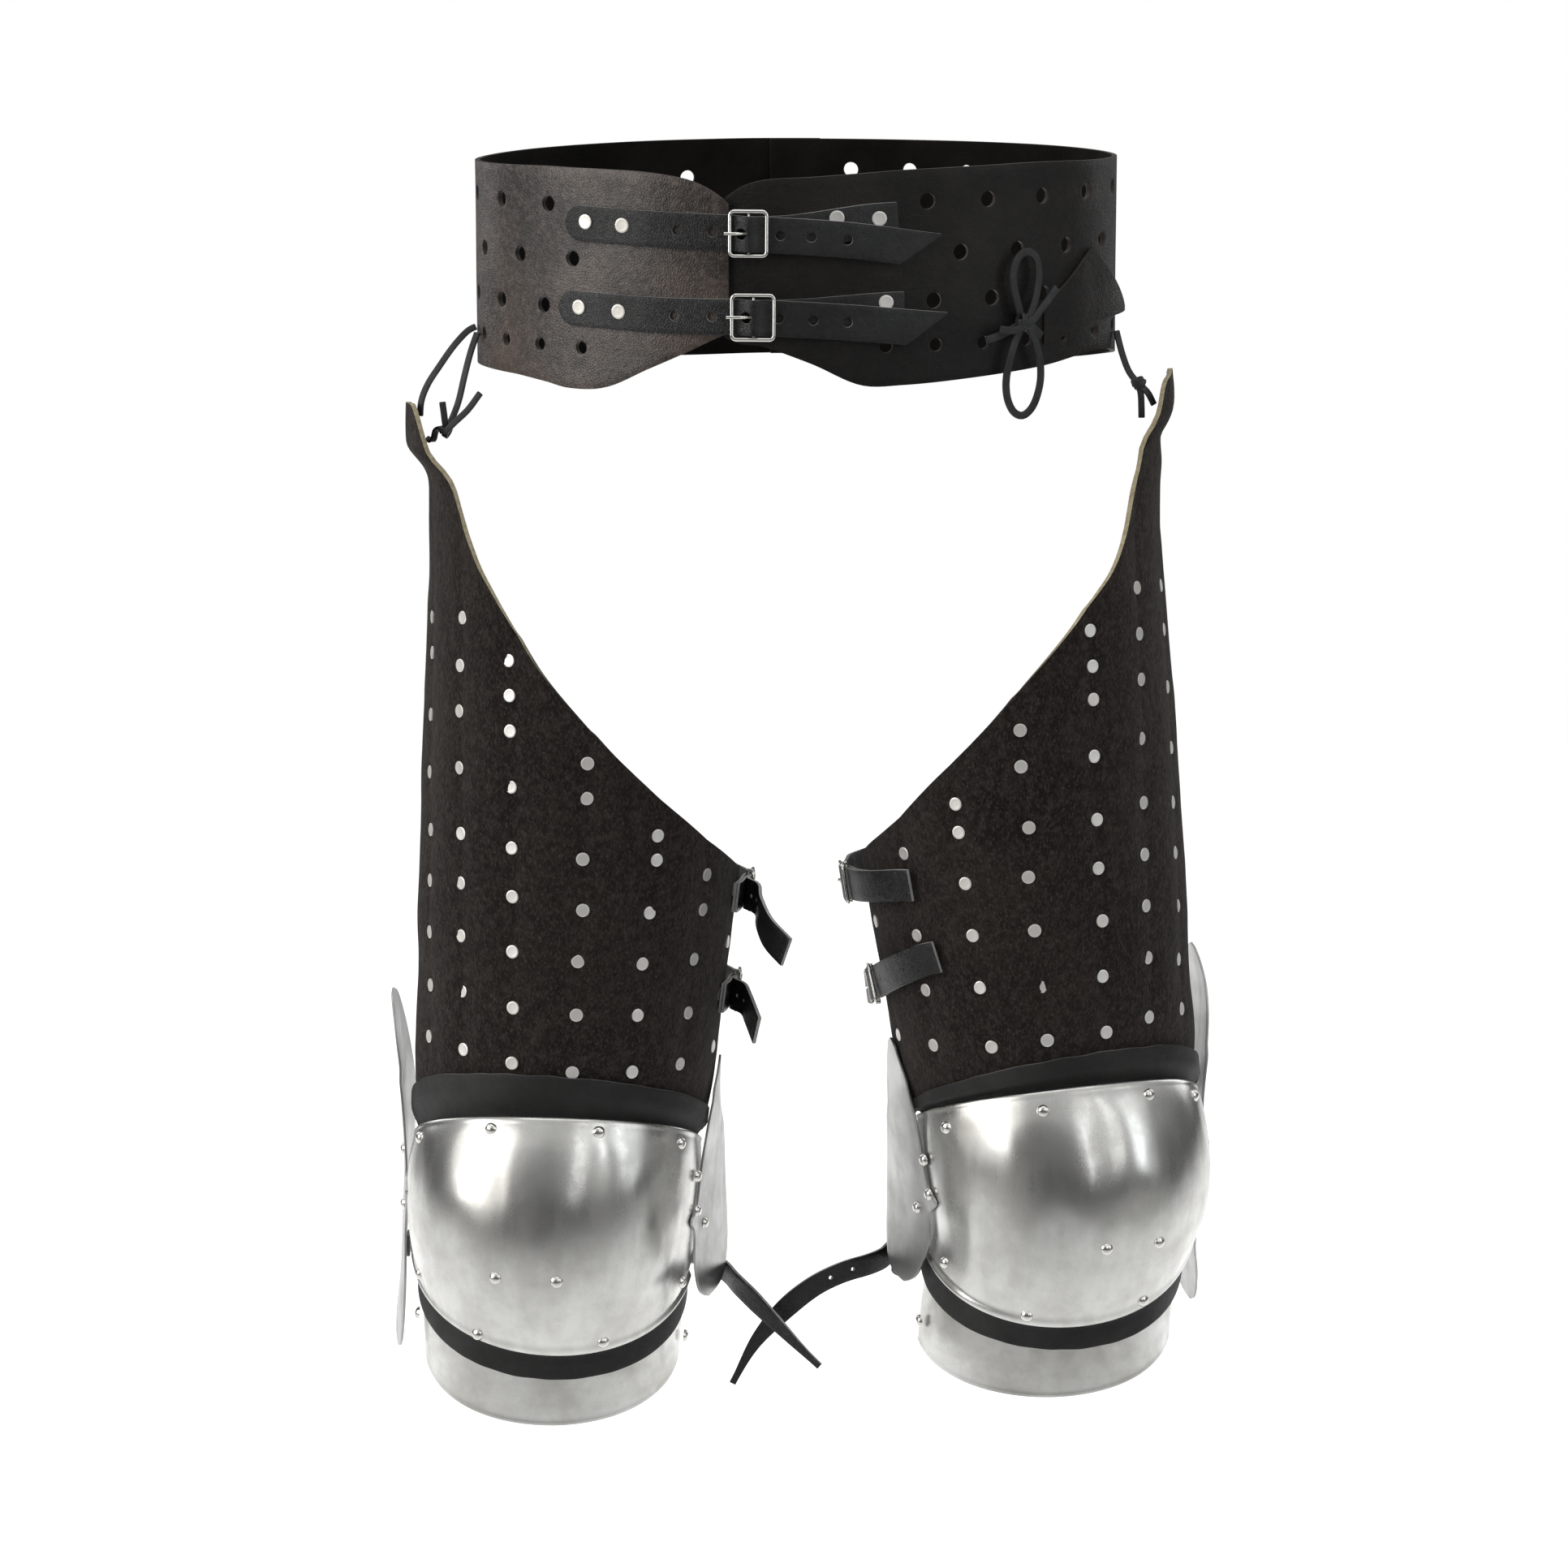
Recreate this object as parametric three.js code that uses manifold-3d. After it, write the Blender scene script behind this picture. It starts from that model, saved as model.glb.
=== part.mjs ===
// A pair of brigandine cuisses with their knees, hung by laces from a perforated leather belt.
// Millimetres, +Z up, +X the wearer's left, -Y the front. The origin is the middle of the belt's ring.
import * as THREE from 'three';
import { mergeVertices } from 'three/addons/utils/BufferGeometryUtils.js';
import Module from 'manifold-3d';

const wasm = await Module();
wasm.setup();

// ---- driving dimensions ----
const belt = {
  halfWidth: 185, halfDepth: 127, leather: 3, overlap: 15,
  dip: Math.tan(THREE.MathUtils.degToRad(3)), // the ring is lower at the front
};
const strapSize = { width: 20, leather: 2, chapeLeather: 1.5 };
const suede = {
  leather: 3, rib: 1.3, tuck: 1.5, innerEdge: -94, outerEdge: 113,
  rows: [0, 0.2, 0.4, 0.62, 0.84, 0.935, 1], // closer where the tongue bends
};
const steel = { splint: 1.2, cop: 1.5, wing: 1.4, lame: 1.5, clear: 0.7 };
const splintLap = 3.5; // degrees a splint reaches past its rivets
const gap = 0.3;
const arcPerDegree = 1.65; // mm of thigh girth in one degree

const materials = {
  beltLeather: new THREE.MeshStandardMaterial({ color: 0x2b2420, roughness: 0.55, metalness: 0 }),
  strapLeather: new THREE.MeshStandardMaterial({ color: 0x1d1d1e, roughness: 0.6, metalness: 0 }),
  suede: new THREE.MeshStandardMaterial({ color: 0x211c18, roughness: 0.95, metalness: 0 }),
  brightSteel: new THREE.MeshStandardMaterial({ color: 0xc6c5c0, roughness: 0.25, metalness: 1 }),
  satinSteel: new THREE.MeshStandardMaterial({ color: 0xa6a6a3, roughness: 0.45, metalness: 1 }),
  nickel: new THREE.MeshStandardMaterial({ color: 0xc9c8c2, roughness: 0.2, metalness: 1 }),
  lace: new THREE.MeshStandardMaterial({ color: 0x1a1a1c, roughness: 0.6, metalness: 0 }),
};

const { lerp: mix, clamp, degToRad, smoothstep } = THREE.MathUtils;
const vector = (x, y, z) => new THREE.Vector3(x, y, z);

// A smooth curve through one column of a table whose rows are sorted by their key column.
function read(table, key, column, at) {
  const last = table.length - 1;
  const place = clamp(at, table[0][key], table[last][key]);
  let row = 0;
  while (row < last - 1 && place > table[row + 1][key]) row += 1;
  const [before, start, end, after] = [row - 1, row, row + 1, row + 2].map((i) => table[clamp(i, 0, last)]);
  const step = end[key] - start[key];
  const slope = (a, b) => (b[column] - a[column]) / (b[key] - a[key]) * step;
  const leave = slope(before, end);
  const arrive = slope(start, after);
  const t = (place - start[key]) / step;
  const rise = end[column] - start[column];
  return start[column] + t * (leave + t * (3 * rise - 2 * leave - arrive + t * (leave + arrive - 2 * rise)));
}

// ---- solids ----
function solidFrom(points, triangles) {
  let volume = 0;
  const [a, b, c] = [vector(0, 0, 0), vector(0, 0, 0), vector(0, 0, 0)];
  for (let i = 0; i < triangles.length; i += 3) {
    a.fromArray(points, 3 * triangles[i]);
    b.fromArray(points, 3 * triangles[i + 1]);
    c.fromArray(points, 3 * triangles[i + 2]);
    volume += a.dot(b.cross(c));
  }
  const geometry = new THREE.BufferGeometry();
  geometry.setAttribute('position', new THREE.Float32BufferAttribute(points, 3));
  geometry.setIndex(volume < 0 ? triangles.slice().reverse() : triangles);
  geometry.computeVertexNormals();
  return geometry;
}

// A closed wall: skin(u, v, out) places its points, between the depths inner and outer of that skin.
function wall({ skin, from, to, columns, stops = null, rows, low, high, levels = null, inner, outer }) {
  const across = stops ?? Array.from({ length: columns + 1 }, (_, i) => mix(from, to, i / columns));
  const evenRows = (u) => Array.from({ length: rows + 1 }, (_, j) => mix(low(u), high(u), j / rows));
  const rowsAt = levels ?? evenRows;
  const last = across.length - 1;
  const points = [];
  const triangles = [];
  const layer = across.length * (rows + 1);
  for (const depth of [outer, inner]) {
    for (const u of across) {
      for (const v of rowsAt(u)) points.push(...skin(u, v, depth(u, v)));
    }
  }
  const at = (side, i, j) => side * layer + i * (rows + 1) + j;
  const quad = (a, b, c, d) => triangles.push(a, b, c, a, c, d);
  for (let i = 0; i < last; i += 1) {
    for (let j = 0; j < rows; j += 1) {
      quad(at(0, i, j), at(0, i + 1, j), at(0, i + 1, j + 1), at(0, i, j + 1));
      quad(at(1, i, j + 1), at(1, i + 1, j + 1), at(1, i + 1, j), at(1, i, j));
    }
    quad(at(1, i, 0), at(1, i + 1, 0), at(0, i + 1, 0), at(0, i, 0));
    quad(at(0, i, rows), at(0, i + 1, rows), at(1, i + 1, rows), at(1, i, rows));
  }
  for (let j = 0; j < rows; j += 1) {
    quad(at(0, 0, j), at(0, 0, j + 1), at(1, 0, j + 1), at(1, 0, j));
    quad(at(1, last, j), at(1, last, j + 1), at(0, last, j + 1), at(0, last, j));
  }
  return solidFrom(points, triangles);
}

function toManifold(geometry) {
  const bare = geometry.clone();
  bare.deleteAttribute('normal');
  bare.deleteAttribute('uv');
  const merged = mergeVertices(bare, 1e-4);
  return new wasm.Manifold(new wasm.Mesh({
    numProp: 3,
    vertProperties: merged.attributes.position.array,
    triVerts: new Uint32Array(merged.index.array),
  }));
}

function fromManifold(body) {
  const { vertProperties, triVerts } = body.getMesh();
  return solidFrom(Array.from(vertProperties), Array.from(triVerts));
}

const joined = (geometries) => fromManifold(geometries.map(toManifold).reduce((all, one) => all.add(one)));

function punched(geometry, cutters) {
  const tools = cutters.map(toManifold).reduce((all, one) => all.add(one));
  return fromManifold(toManifold(geometry).subtract(tools));
}

// A strap along stations, each with its centre and the direction of its width.
function band({ stations, width, leather, stepsPerStation = 2, taper = () => 1 }) {
  const path = new THREE.CatmullRomCurve3(stations.map(({ centre }) => centre), false, 'centripetal');
  const spans = stations.length - 1;
  const skin = (u, v, out) => {
    const span = Math.min(Math.floor(u * spans), spans - 1);
    const side = stations[span].wide.clone().lerp(stations[span + 1].wide, u * spans - span);
    const along = path.getTangent(u);
    side.addScaledVector(along, -side.dot(along)).normalize();
    const face = along.cross(side);
    return path.getPoint(u).addScaledVector(side, v).addScaledVector(face, out);
  };
  return wall({
    skin, from: 0, to: 1, columns: spans * stepsPerStation, rows: 1,
    low: (u) => -width / 2 * taper(u), high: (u) => width / 2 * taper(u),
    inner: () => -leather / 2, outer: () => leather / 2,
  });
}

// A round lace through its points.
function cord(points, diameter, pitch) {
  const curve = new THREE.CatmullRomCurve3(points.map((point) => vector(...point)), false, 'centripetal');
  const round = new THREE.Shape().absarc(0, 0, diameter / 2, 0, 2 * Math.PI);
  return new THREE.ExtrudeGeometry(round, {
    extrudePath: curve, steps: Math.ceil(curve.getLength() / pitch), curveSegments: 4, bevelEnabled: false,
  });
}

function box(size, centre) {
  return new THREE.BoxGeometry(...size).translate(...centre);
}

const group = new THREE.Group();
function addMesh(parent, name, geometry, material) {
  const mesh = new THREE.Mesh(geometry, material);
  mesh.name = name;
  parent.add(mesh);
  return mesh;
}

// ---- the belt's ring: arc is mm round it from the front middle, + to the wearer's left ----
const ringTurns = (() => {
  const table = [{ arc: 0, turn: 0 }];
  const step = degToRad(0.5);
  while (table.at(-1).turn < 1.2 * Math.PI) {
    const { arc, turn } = table.at(-1);
    const middle = turn + step / 2;
    const pace = Math.hypot(belt.halfWidth * Math.cos(middle), belt.halfDepth * Math.sin(middle));
    table.push({ arc: arc + pace * step, turn: turn + step });
  }
  return table;
})();
const ringGirth = 2 * ringTurns.find(({ turn }) => turn >= Math.PI - 1e-6).arc;

function ringPoint(arc, height, out) {
  const turn = Math.sign(arc) * read(ringTurns, 'arc', 'turn', Math.abs(arc));
  const normal = vector(Math.sin(turn) / belt.halfWidth, -Math.cos(turn) / belt.halfDepth, 0).normalize();
  const point = vector(belt.halfWidth * Math.sin(turn), -belt.halfDepth * Math.cos(turn), height);
  point.addScaledVector(normal, out);
  point.z += point.y * belt.dip;
  return point;
}

// ---- belt halves ----
const rightHalf = {
  side: -1, start: 37, end: ringGirth / 2 + belt.overlap,
  edges: [ // the half's edges by the arc from the front middle
    { arc: 37, top: 45, bottom: -27 },
    { arc: 44, top: 50.5, bottom: -30 },
    { arc: 52, top: 55, bottom: -34 },
    { arc: 62, top: 58.5, bottom: -39 },
    { arc: 84, top: 61.5, bottom: -49 },
    { arc: 110, top: 62, bottom: -60.5 },
    { arc: 134, top: 62, bottom: -62.5 },
    { arc: 152, top: 62, bottom: -60 },
    { arc: 180, top: 61, bottom: -58 },
    { arc: 260, top: 58.5, bottom: -60 },
    { arc: 330, top: 59, bottom: -68 },
    { arc: 420, top: 60, bottom: -71 },
    { arc: 520, top: 60, bottom: -71 },
  ],
  holes: [
    { height: 41, first: 148, pitch: 40, radius: 4.5 },
    { height: 11, first: 131, pitch: 40, radius: 4.5 },
    { height: -16.5, first: 152, pitch: 37, radius: 4.5 },
    { height: -39, first: 125.6, pitch: 29.5, radius: 3.75 },
  ],
  behind: 0, // how far the rows skip at the belt's side
  lift: [ // clear of the other half where the two overlap
    { arc: 37, out: 3.3 },
    { arc: 80, out: 3.3 },
    { arc: 115, out: 0 },
    { arc: 430, out: 0 },
    { arc: 470, out: 3.3 },
    { arc: 520, out: 3.3 },
  ],
};
const leftHalf = {
  side: 1, start: -58, end: ringGirth / 2 + belt.overlap,
  edges: [
    { arc: -58, top: 35, bottom: -20 },
    { arc: -45, top: 44, bottom: -27 },
    { arc: -32, top: 53.5, bottom: -33 },
    { arc: -19, top: 57.8, bottom: -34.5 },
    { arc: 9, top: 59.7, bottom: -44.5 },
    { arc: 36, top: 61.5, bottom: -56.5 },
    { arc: 60, top: 63, bottom: -57 },
    { arc: 98, top: 64, bottom: -54.8 },
    { arc: 145, top: 64.5, bottom: -51.3 },
    { arc: 200, top: 62.5, bottom: -46.5 },
    { arc: 260, top: 61, bottom: -56 },
    { arc: 330, top: 60.5, bottom: -67 },
    { arc: 420, top: 60, bottom: -71 },
    { arc: 520, top: 60, bottom: -71 },
  ],
  holes: [
    { height: 45.5, first: 74, pitch: 36.5, radius: 4.5 },
    { height: 16.5, first: 58, pitch: 36, radius: 4.5 },
    { height: -10, first: 78, pitch: 35.5, radius: 4.5 },
    { height: -35, first: 50.5, pitch: 28.8, radius: 3.75 },
  ],
  behind: 21,
  lift: [{ arc: -58, out: 0 }, { arc: 520, out: 0 }],
};

const backHoles = { from: 235, lower: 4 };

function holeCutters(half) {
  const seamClear = ringGirth / 2 - 28;
  return half.holes.flatMap(({ height, first, pitch, radius }) => {
    const cutters = [];
    for (let place = first; place < seamClear; place += pitch) {
      const atBack = place > backHoles.from;
      const arc = half.side * (place + (atBack ? half.behind : 0));
      const level = height - (atBack ? backHoles.lower : 0);
      if (Math.abs(arc) > seamClear) break;
      const centre = ringPoint(arc, level, 3);
      const away = ringPoint(arc, level, 4).sub(centre);
      const cutter = new THREE.CylinderGeometry(radius, radius, 16, 6);
      cutter.applyQuaternion(new THREE.Quaternion().setFromUnitVectors(vector(0, 1, 0), away.normalize()));
      cutters.push(cutter.translate(...centre));
    }
    return cutters;
  });
}

function beltHalf(half, columns) {
  const lift = (arc) => read(half.lift, 'arc', 'out', arc);
  const shape = wall({
    skin: (arc, height, out) => ringPoint(half.side * arc, height, out),
    from: half.start, to: half.end, columns, rows: 1,
    low: (arc) => read(half.edges, 'arc', 'bottom', arc), high: (arc) => read(half.edges, 'arc', 'top', arc),
    inner: (arc) => lift(arc), outer: (arc) => lift(arc) + belt.leather,
  });
  return punched(shape, holeCutters(half));
}
addMesh(group, 'belt_right', beltHalf(rightHalf, 32), materials.beltLeather);
addMesh(group, 'belt_left', beltHalf(leftHalf, 36), materials.beltLeather);

const strapBump = 8.5; // half the length of a strap's rise over a bar

// ---- straps, chapes and buckles: the heights of the stack over the surface that carries them ----
const stack = (() => {
  const chapeLow = gap;
  const chapeHigh = chapeLow + strapSize.chapeLeather + gap;
  const tail = chapeHigh + strapSize.chapeLeather + gap;
  const barRadius = 0.8;
  const wrapRadius = barRadius + gap + strapSize.chapeLeather;
  const bar = chapeLow + strapSize.chapeLeather + wrapRadius - 0.3;
  const overBar = bar + wrapRadius + gap;
  const ring = tail + strapSize.leather + gap;
  return { chapeLow, chapeHigh, tail, barRadius, wrapRadius, bar, overBar, ring };
})();

// A centre-bar buckle in its own XY plane: X along the strap, the tongue to -X, Z away from the surface.
function buckleGeometry({ length, height, wire, sides = 2 }) {
  const corner = 3;
  const rounded = (shape, halfLength, halfHeight, radius) => shape
    .moveTo(halfLength - radius, -halfHeight)
    .absarc(halfLength - radius, -halfHeight + radius, radius, -Math.PI / 2, 0)
    .absarc(halfLength - radius, halfHeight - radius, radius, 0, Math.PI / 2)
    .absarc(-halfLength + radius, halfHeight - radius, radius, Math.PI / 2, Math.PI)
    .absarc(-halfLength + radius, -halfHeight + radius, radius, Math.PI, 1.5 * Math.PI);
  const outline = rounded(new THREE.Shape(), length / 2, height / 2, corner);
  outline.holes.push(rounded(new THREE.Path(), length / 2 - wire, height / 2 - wire, corner - wire / 2));
  const frame = new THREE.ExtrudeGeometry(outline, {
    depth: wire, bevelEnabled: false, curveSegments: sides,
  });
  frame.translate(0, 0, stack.ring);
  const bar = new THREE.CylinderGeometry(stack.barRadius, stack.barRadius, height - wire, 6);
  bar.translate(0, 0, stack.bar);
  const lugHeight = stack.ring + 1 - stack.bar + stack.barRadius;
  const lugs = [-1, 1].map((end) => box([2 * stack.barRadius, wire, lugHeight],
    [0, end * (height - wire) / 2, stack.bar - stack.barRadius + lugHeight / 2]));
  const tongue = new THREE.CatmullRomCurve3([
    vector(0, 0, stack.bar), vector(-2.2, 0, stack.bar + 1.1), vector(-5.2, 0, stack.ring + wire + 0.2),
    vector(-length / 2 + 1, 0, stack.ring + wire + 1.1), vector(-length / 2 - 2, 0, stack.ring + wire + 0.6),
  ]);
  const section = new THREE.Shape().absarc(0, 0, 1, 0, 2 * Math.PI);
  const prong = new THREE.ExtrudeGeometry(section, {
    extrudePath: tongue, steps: 3 + 2 * sides, curveSegments: sides, bevelEnabled: false,
  });
  return joined([frame, bar, ...lugs, prong]);
}

// The directions of a strap on a surface: along it, across it and away from the surface.
function strapFrame(place, arc, heightAt, base) {
  const centre = place(arc, heightAt(arc), base);
  const outwards = place(arc, heightAt(arc), base + 1).sub(centre);
  const before = place(arc - 1, heightAt(arc - 1), base);
  const along = place(arc + 1, heightAt(arc + 1), base).sub(before).normalize();
  const up = place(arc, heightAt(arc) + 1, base).sub(centre);
  up.addScaledVector(along, -up.dot(along)).normalize();
  const away = along.clone().cross(up);
  if (away.dot(outwards) < 0) [up, away].forEach((axis) => axis.negate());
  return { centre, along, up, away };
}

// Seats a piece made with +X along the strap, +Y across it and +Z away from the surface.
function seat(mesh, place, arc, heightAt, base) {
  const { centre, along, up, away } = strapFrame(place, arc, heightAt, base);
  mesh.position.copy(centre);
  mesh.quaternion.setFromRotationMatrix(new THREE.Matrix4().makeBasis(along, up, away));
}

// A chape: from its rivets along the surface, round the buckle's bar and back.
function chapeGeometry(place, { bar, end, base, heightAt, width, pitch }) {
  const half = strapSize.chapeLeather / 2;
  const runs = Math.max(1, Math.ceil((end - bar - 8) / pitch));
  const straight = Array.from({ length: runs + 1 }, (_, i) => mix(end, bar + 8, i / runs));
  const route = straight.map((arc) => ({ arc, out: stack.chapeLow + half }));
  const turnRadius = stack.wrapRadius - half;
  for (let turn = -80; turn <= 80; turn += 40) {
    route.push({
      arc: bar - turnRadius * Math.cos(degToRad(turn)),
      out: stack.bar + turnRadius * Math.sin(degToRad(turn)),
    });
  }
  route.push(...straight.reverse().map((arc) => ({ arc, out: stack.chapeHigh + half })));
  const stations = route.map(({ arc, out }) => ({
    centre: place(arc, heightAt(arc), base + out), wide: strapFrame(place, arc, heightAt, base).up,
  }));
  const shape = band({ stations, width, leather: strapSize.chapeLeather, stepsPerStation: 1 });
  const slot = box([6, 4, 2 * stack.wrapRadius], [-2.2, 0, stack.bar + 0.8]);
  const holder = new THREE.Object3D();
  seat(holder, place, bar, heightAt, base);
  holder.updateMatrix();
  return punched(shape, [slot.applyMatrix4(holder.matrix)]);
}

const beltStraps = [
  {
    name: 'upper', bar: -25.7, buckleLength: 23, chapeEnd: 56, tip: 80.5, cutBack: 24,
    line: [ // the middle of the strap by arc
      { arc: -134, height: 31.6 }, { arc: -66, height: 30 }, { arc: -26, height: 28.7 },
      { arc: 28, height: 25.3 }, { arc: 81, height: 17.5 },
    ],
    chapeRise: 7.5,
    holes: [-65.4, -45.7, -8.4, 8.4, 28],
  },
  {
    name: 'lower', bar: -23.2, buckleLength: 26, chapeEnd: 60, tip: 84.4, cutBack: 24,
    line: [
      { arc: -139, height: -16.5 }, { arc: -67, height: -17.7 }, { arc: -23, height: -17.8 },
      { arc: 28, height: -20.5 }, { arc: 85, height: -26.5 },
    ],
    chapeRise: 4,
    holes: [-67, -46, -9.4, 9.4, 28],
  },
];

// The strap's underside over the ring: it rises over the buckle's bar and lies on the chape beyond it.
function beltStrapLift(arc, bar) {
  const low = mix(belt.leather + gap, belt.leather + stack.tail, smoothstep(arc, -118, -80));
  const bump = 0.5 + 0.5 * Math.cos(Math.PI * Math.min(1, Math.abs(arc - bar) / strapBump));
  return low + bump * (stack.overBar - stack.tail) - 1.5 * smoothstep(arc, 60, 85);
}

function beltStrap({ bar, tip, cutBack, line, holes }) {
  const half = strapSize.width / 2;
  const start = line[0].arc;
  const middle = (arc) => read(line, 'arc', 'height', arc);
  const roundEnd = (arc) => Math.sqrt(Math.max(0.02, 1 - Math.max(0, (start + half - arc) / half) ** 2));
  const stops = [start, start + 2, start + 5, start + 10, -112, -96, -80, -64, -52];
  for (let step = -6; step <= 6; step += 1) stops.push(bar + 2 * step);
  stops.push(...[0.2, 0.4, 0.6, 0.8, 1].map((t) => mix(bar + 12, tip - cutBack, t)), tip - cutBack / 2, tip);
  const cutShare = (arc) => clamp((arc - tip + cutBack) / cutBack, 0, 1);
  const shape = wall({
    skin: (arc, height, out) => ringPoint(arc, height, beltStrapLift(arc, bar) + out), stops, rows: 1,
    low: (arc) => middle(arc) + half * mix(-roundEnd(arc), 0.93, cutShare(arc)),
    high: (arc) => middle(arc) + half * roundEnd(arc),
    inner: () => 0, outer: () => strapSize.leather,
  });
  const cutters = [...holes, bar - 3.8].map((arc) => {
    const centre = ringPoint(arc, middle(arc), 10);
    const away = ringPoint(arc, middle(arc), 11).sub(centre);
    const radius = arc === bar - 3.8 ? 3.4 : 2.75;
    const cutter = new THREE.CylinderGeometry(radius, radius, 20, 6);
    cutter.applyQuaternion(new THREE.Quaternion().setFromUnitVectors(vector(0, 1, 0), away.normalize()));
    return cutter.translate(...centre);
  });
  return punched(shape, cutters);
}

for (const strap of beltStraps) {
  const barHeight = read(strap.line, 'arc', 'height', strap.bar);
  addMesh(group, `belt_strap_${strap.name}`, beltStrap(strap), materials.strapLeather);
  const heightAt = (arc) => barHeight + strap.chapeRise * smoothstep(arc, strap.bar + 8, strap.chapeEnd);
  addMesh(group, `belt_chape_${strap.name}`, chapeGeometry(ringPoint, {
    bar: strap.bar, end: strap.chapeEnd, base: belt.leather, heightAt, width: strapSize.width - 1, pitch: 15,
  }), materials.strapLeather);
  const buckle = buckleGeometry({ length: strap.buckleLength, height: 27, wire: 2.2 });
  const mesh = addMesh(group, `belt_buckle_${strap.name}`, buckle, materials.nickel);
  seat(mesh, ringPoint, strap.bar, heightAt, belt.leather);
}

// ---- the bare three-cornered flap on the left half ----
const flapEdges = [
  { arc: 137, top: -23.5, bottom: -42 }, { arc: 141, top: -21.5, bottom: -41 },
  { arc: 167, top: -3, bottom: -33.7 },
  { arc: 189, top: 13.5, bottom: -29.4 }, { arc: 193, top: 11, bottom: -28.8 },
  { arc: 231, top: -24.5, bottom: -27.5 },
];
addMesh(group, 'belt_flap', wall({
  skin: (arc, height, out) => ringPoint(arc, height, out + 4 * smoothstep(arc, 185, 231)),
  from: 148.5, to: 231, columns: 12, rows: 2,
  low: (arc) => read(flapEdges, 'arc', 'bottom', arc), high: (arc) => read(flapEdges, 'arc', 'top', arc),
  inner: () => belt.leather + gap, outer: () => belt.leather + gap + 2,
}), materials.beltLeather);

// ---- legs ----
// Each leg's frame: x outwards (mirrored on the wearer's right), y back, z up the thigh, 0 at the knee.
// A knee edge runs at centre + rise * (turn / 65)^2 + tilt * sin(turn), by the turn from the leg's front.
const legs = [
  {
    name: 'right', mirror: -1, knee: [-139.4, 0, -494], lean: 4.5, thighTurn: -2, kneeTurn: 5,
    stripTop: { centre: 23, rise: -20, tilt: 0 },
    copTop: { centre: -2, rise: -18.5, tilt: -4 }, copBottom: { centre: -147.5, rise: 23, tilt: -1.5 },
    stripBottom: { centre: -164, rise: 19, tilt: -2 }, lameBottom: { centre: -194.4, rise: 14, tilt: -4 },
    cusps: { outer: -72, inner: -73 },
    wingOuts: {
      outer: [
        { rise: -107, stand: 24, flare: 3 }, { rise: -60, stand: 18, flare: 0.5 },
        { rise: 0, stand: 13, flare: 0 },
        { rise: 50, stand: 9, flare: 3 }, { rise: 94, stand: 6, flare: 10 },
        { rise: 117, stand: 4, flare: 15 },
      ],
      inner: [
        { rise: -54, stand: 26, flare: 0 }, { rise: 0, stand: 19, flare: 0 },
        { rise: 40, stand: 13, flare: 0 },
        { rise: 70, stand: 6, flare: 0 }, { rise: 96, stand: 0, flare: 0 },
      ],
    },
    shift: [
      { height: -190, out: -5 }, { height: -150, out: -3 }, { height: -75, out: 1 }, { height: 60, out: 0 },
    ],
    flare: [ // how far the suede's tongue bends away from the hip
      { height: 340, out: 0 }, { height: 358, out: 0.5 },
      { height: 366, out: 3.5 }, { height: 376, out: 11 },
      { height: 384, out: 11.5 }, { height: 403, out: 9 },
    ],
  },
  {
    name: 'left', mirror: 1, knee: [151.7, 0, -487], lean: 6.6, thighTurn: 2, kneeTurn: 16,
    stripTop: { centre: 26, rise: -20, tilt: 7 },
    copTop: { centre: 8, rise: -17, tilt: 1 }, copBottom: { centre: -136, rise: 22.6, tilt: -12 },
    stripBottom: { centre: -151, rise: 17, tilt: -13 }, lameBottom: { centre: -182, rise: 12, tilt: -8 },
    cusps: { outer: -57, inner: -62 },
    wingOuts: {
      outer: [
        { rise: -107, stand: 6, flare: 11 }, { rise: -86, stand: 6, flare: 7 },
        { rise: -62, stand: 6, flare: 0.5 },
        { rise: 0, stand: 6, flare: 0 }, { rise: 25, stand: 6, flare: 0 },
        { rise: 67, stand: 6, flare: 7.5 },
        { rise: 94, stand: 6, flare: 10 }, { rise: 117, stand: 6, flare: 8 },
      ],
      inner: [
        { rise: -54, stand: 19, flare: 0 }, { rise: 0, stand: 14, flare: 0 },
        { rise: 40, stand: 9, flare: 0 },
        { rise: 70, stand: 5, flare: 0 }, { rise: 96, stand: 0, flare: 0 },
      ],
    },
    shift: [
      { height: -190, out: -22 }, { height: -150, out: -17 }, { height: -75, out: 0 }, { height: 60, out: 0 },
    ],
    flare: [
      { height: 340, out: 0 }, { height: 358, out: 0.5 },
      { height: 376, out: 1.2 }, { height: 384, out: 5 },
      { height: 391, out: 7 }, { height: 400, out: 6.3 }, { height: 412, out: 4 },
    ],
  },
];
const kneeEdge = ({ centre, rise, tilt }) => (turn) => (
  centre + rise * (turn / 65) ** 2 + tilt * Math.sin(degToRad(turn))
);
const sections = [ // half the thigh's width and depth inside the suede, by height
  { height: -200, side: 78, front: 77 },
  { height: -150, side: 82, front: 83 },
  { height: -110, side: 83, front: 86 },
  { height: -60, side: 84, front: 87 },
  { height: -20, side: 86, front: 86 },
  { height: 15, side: 87.5, front: 86.5 },
  { height: 60, side: 88.5, front: 88.5 },
  { height: 100, side: 91, front: 91 },
  { height: 200, side: 94.5, front: 97 },
  { height: 300, side: 97, front: 101 },
  { height: 340, side: 98.5, front: 102 },
  { height: 370, side: 102.5, front: 103 },
  { height: 420, side: 112, front: 104 },
];
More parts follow.
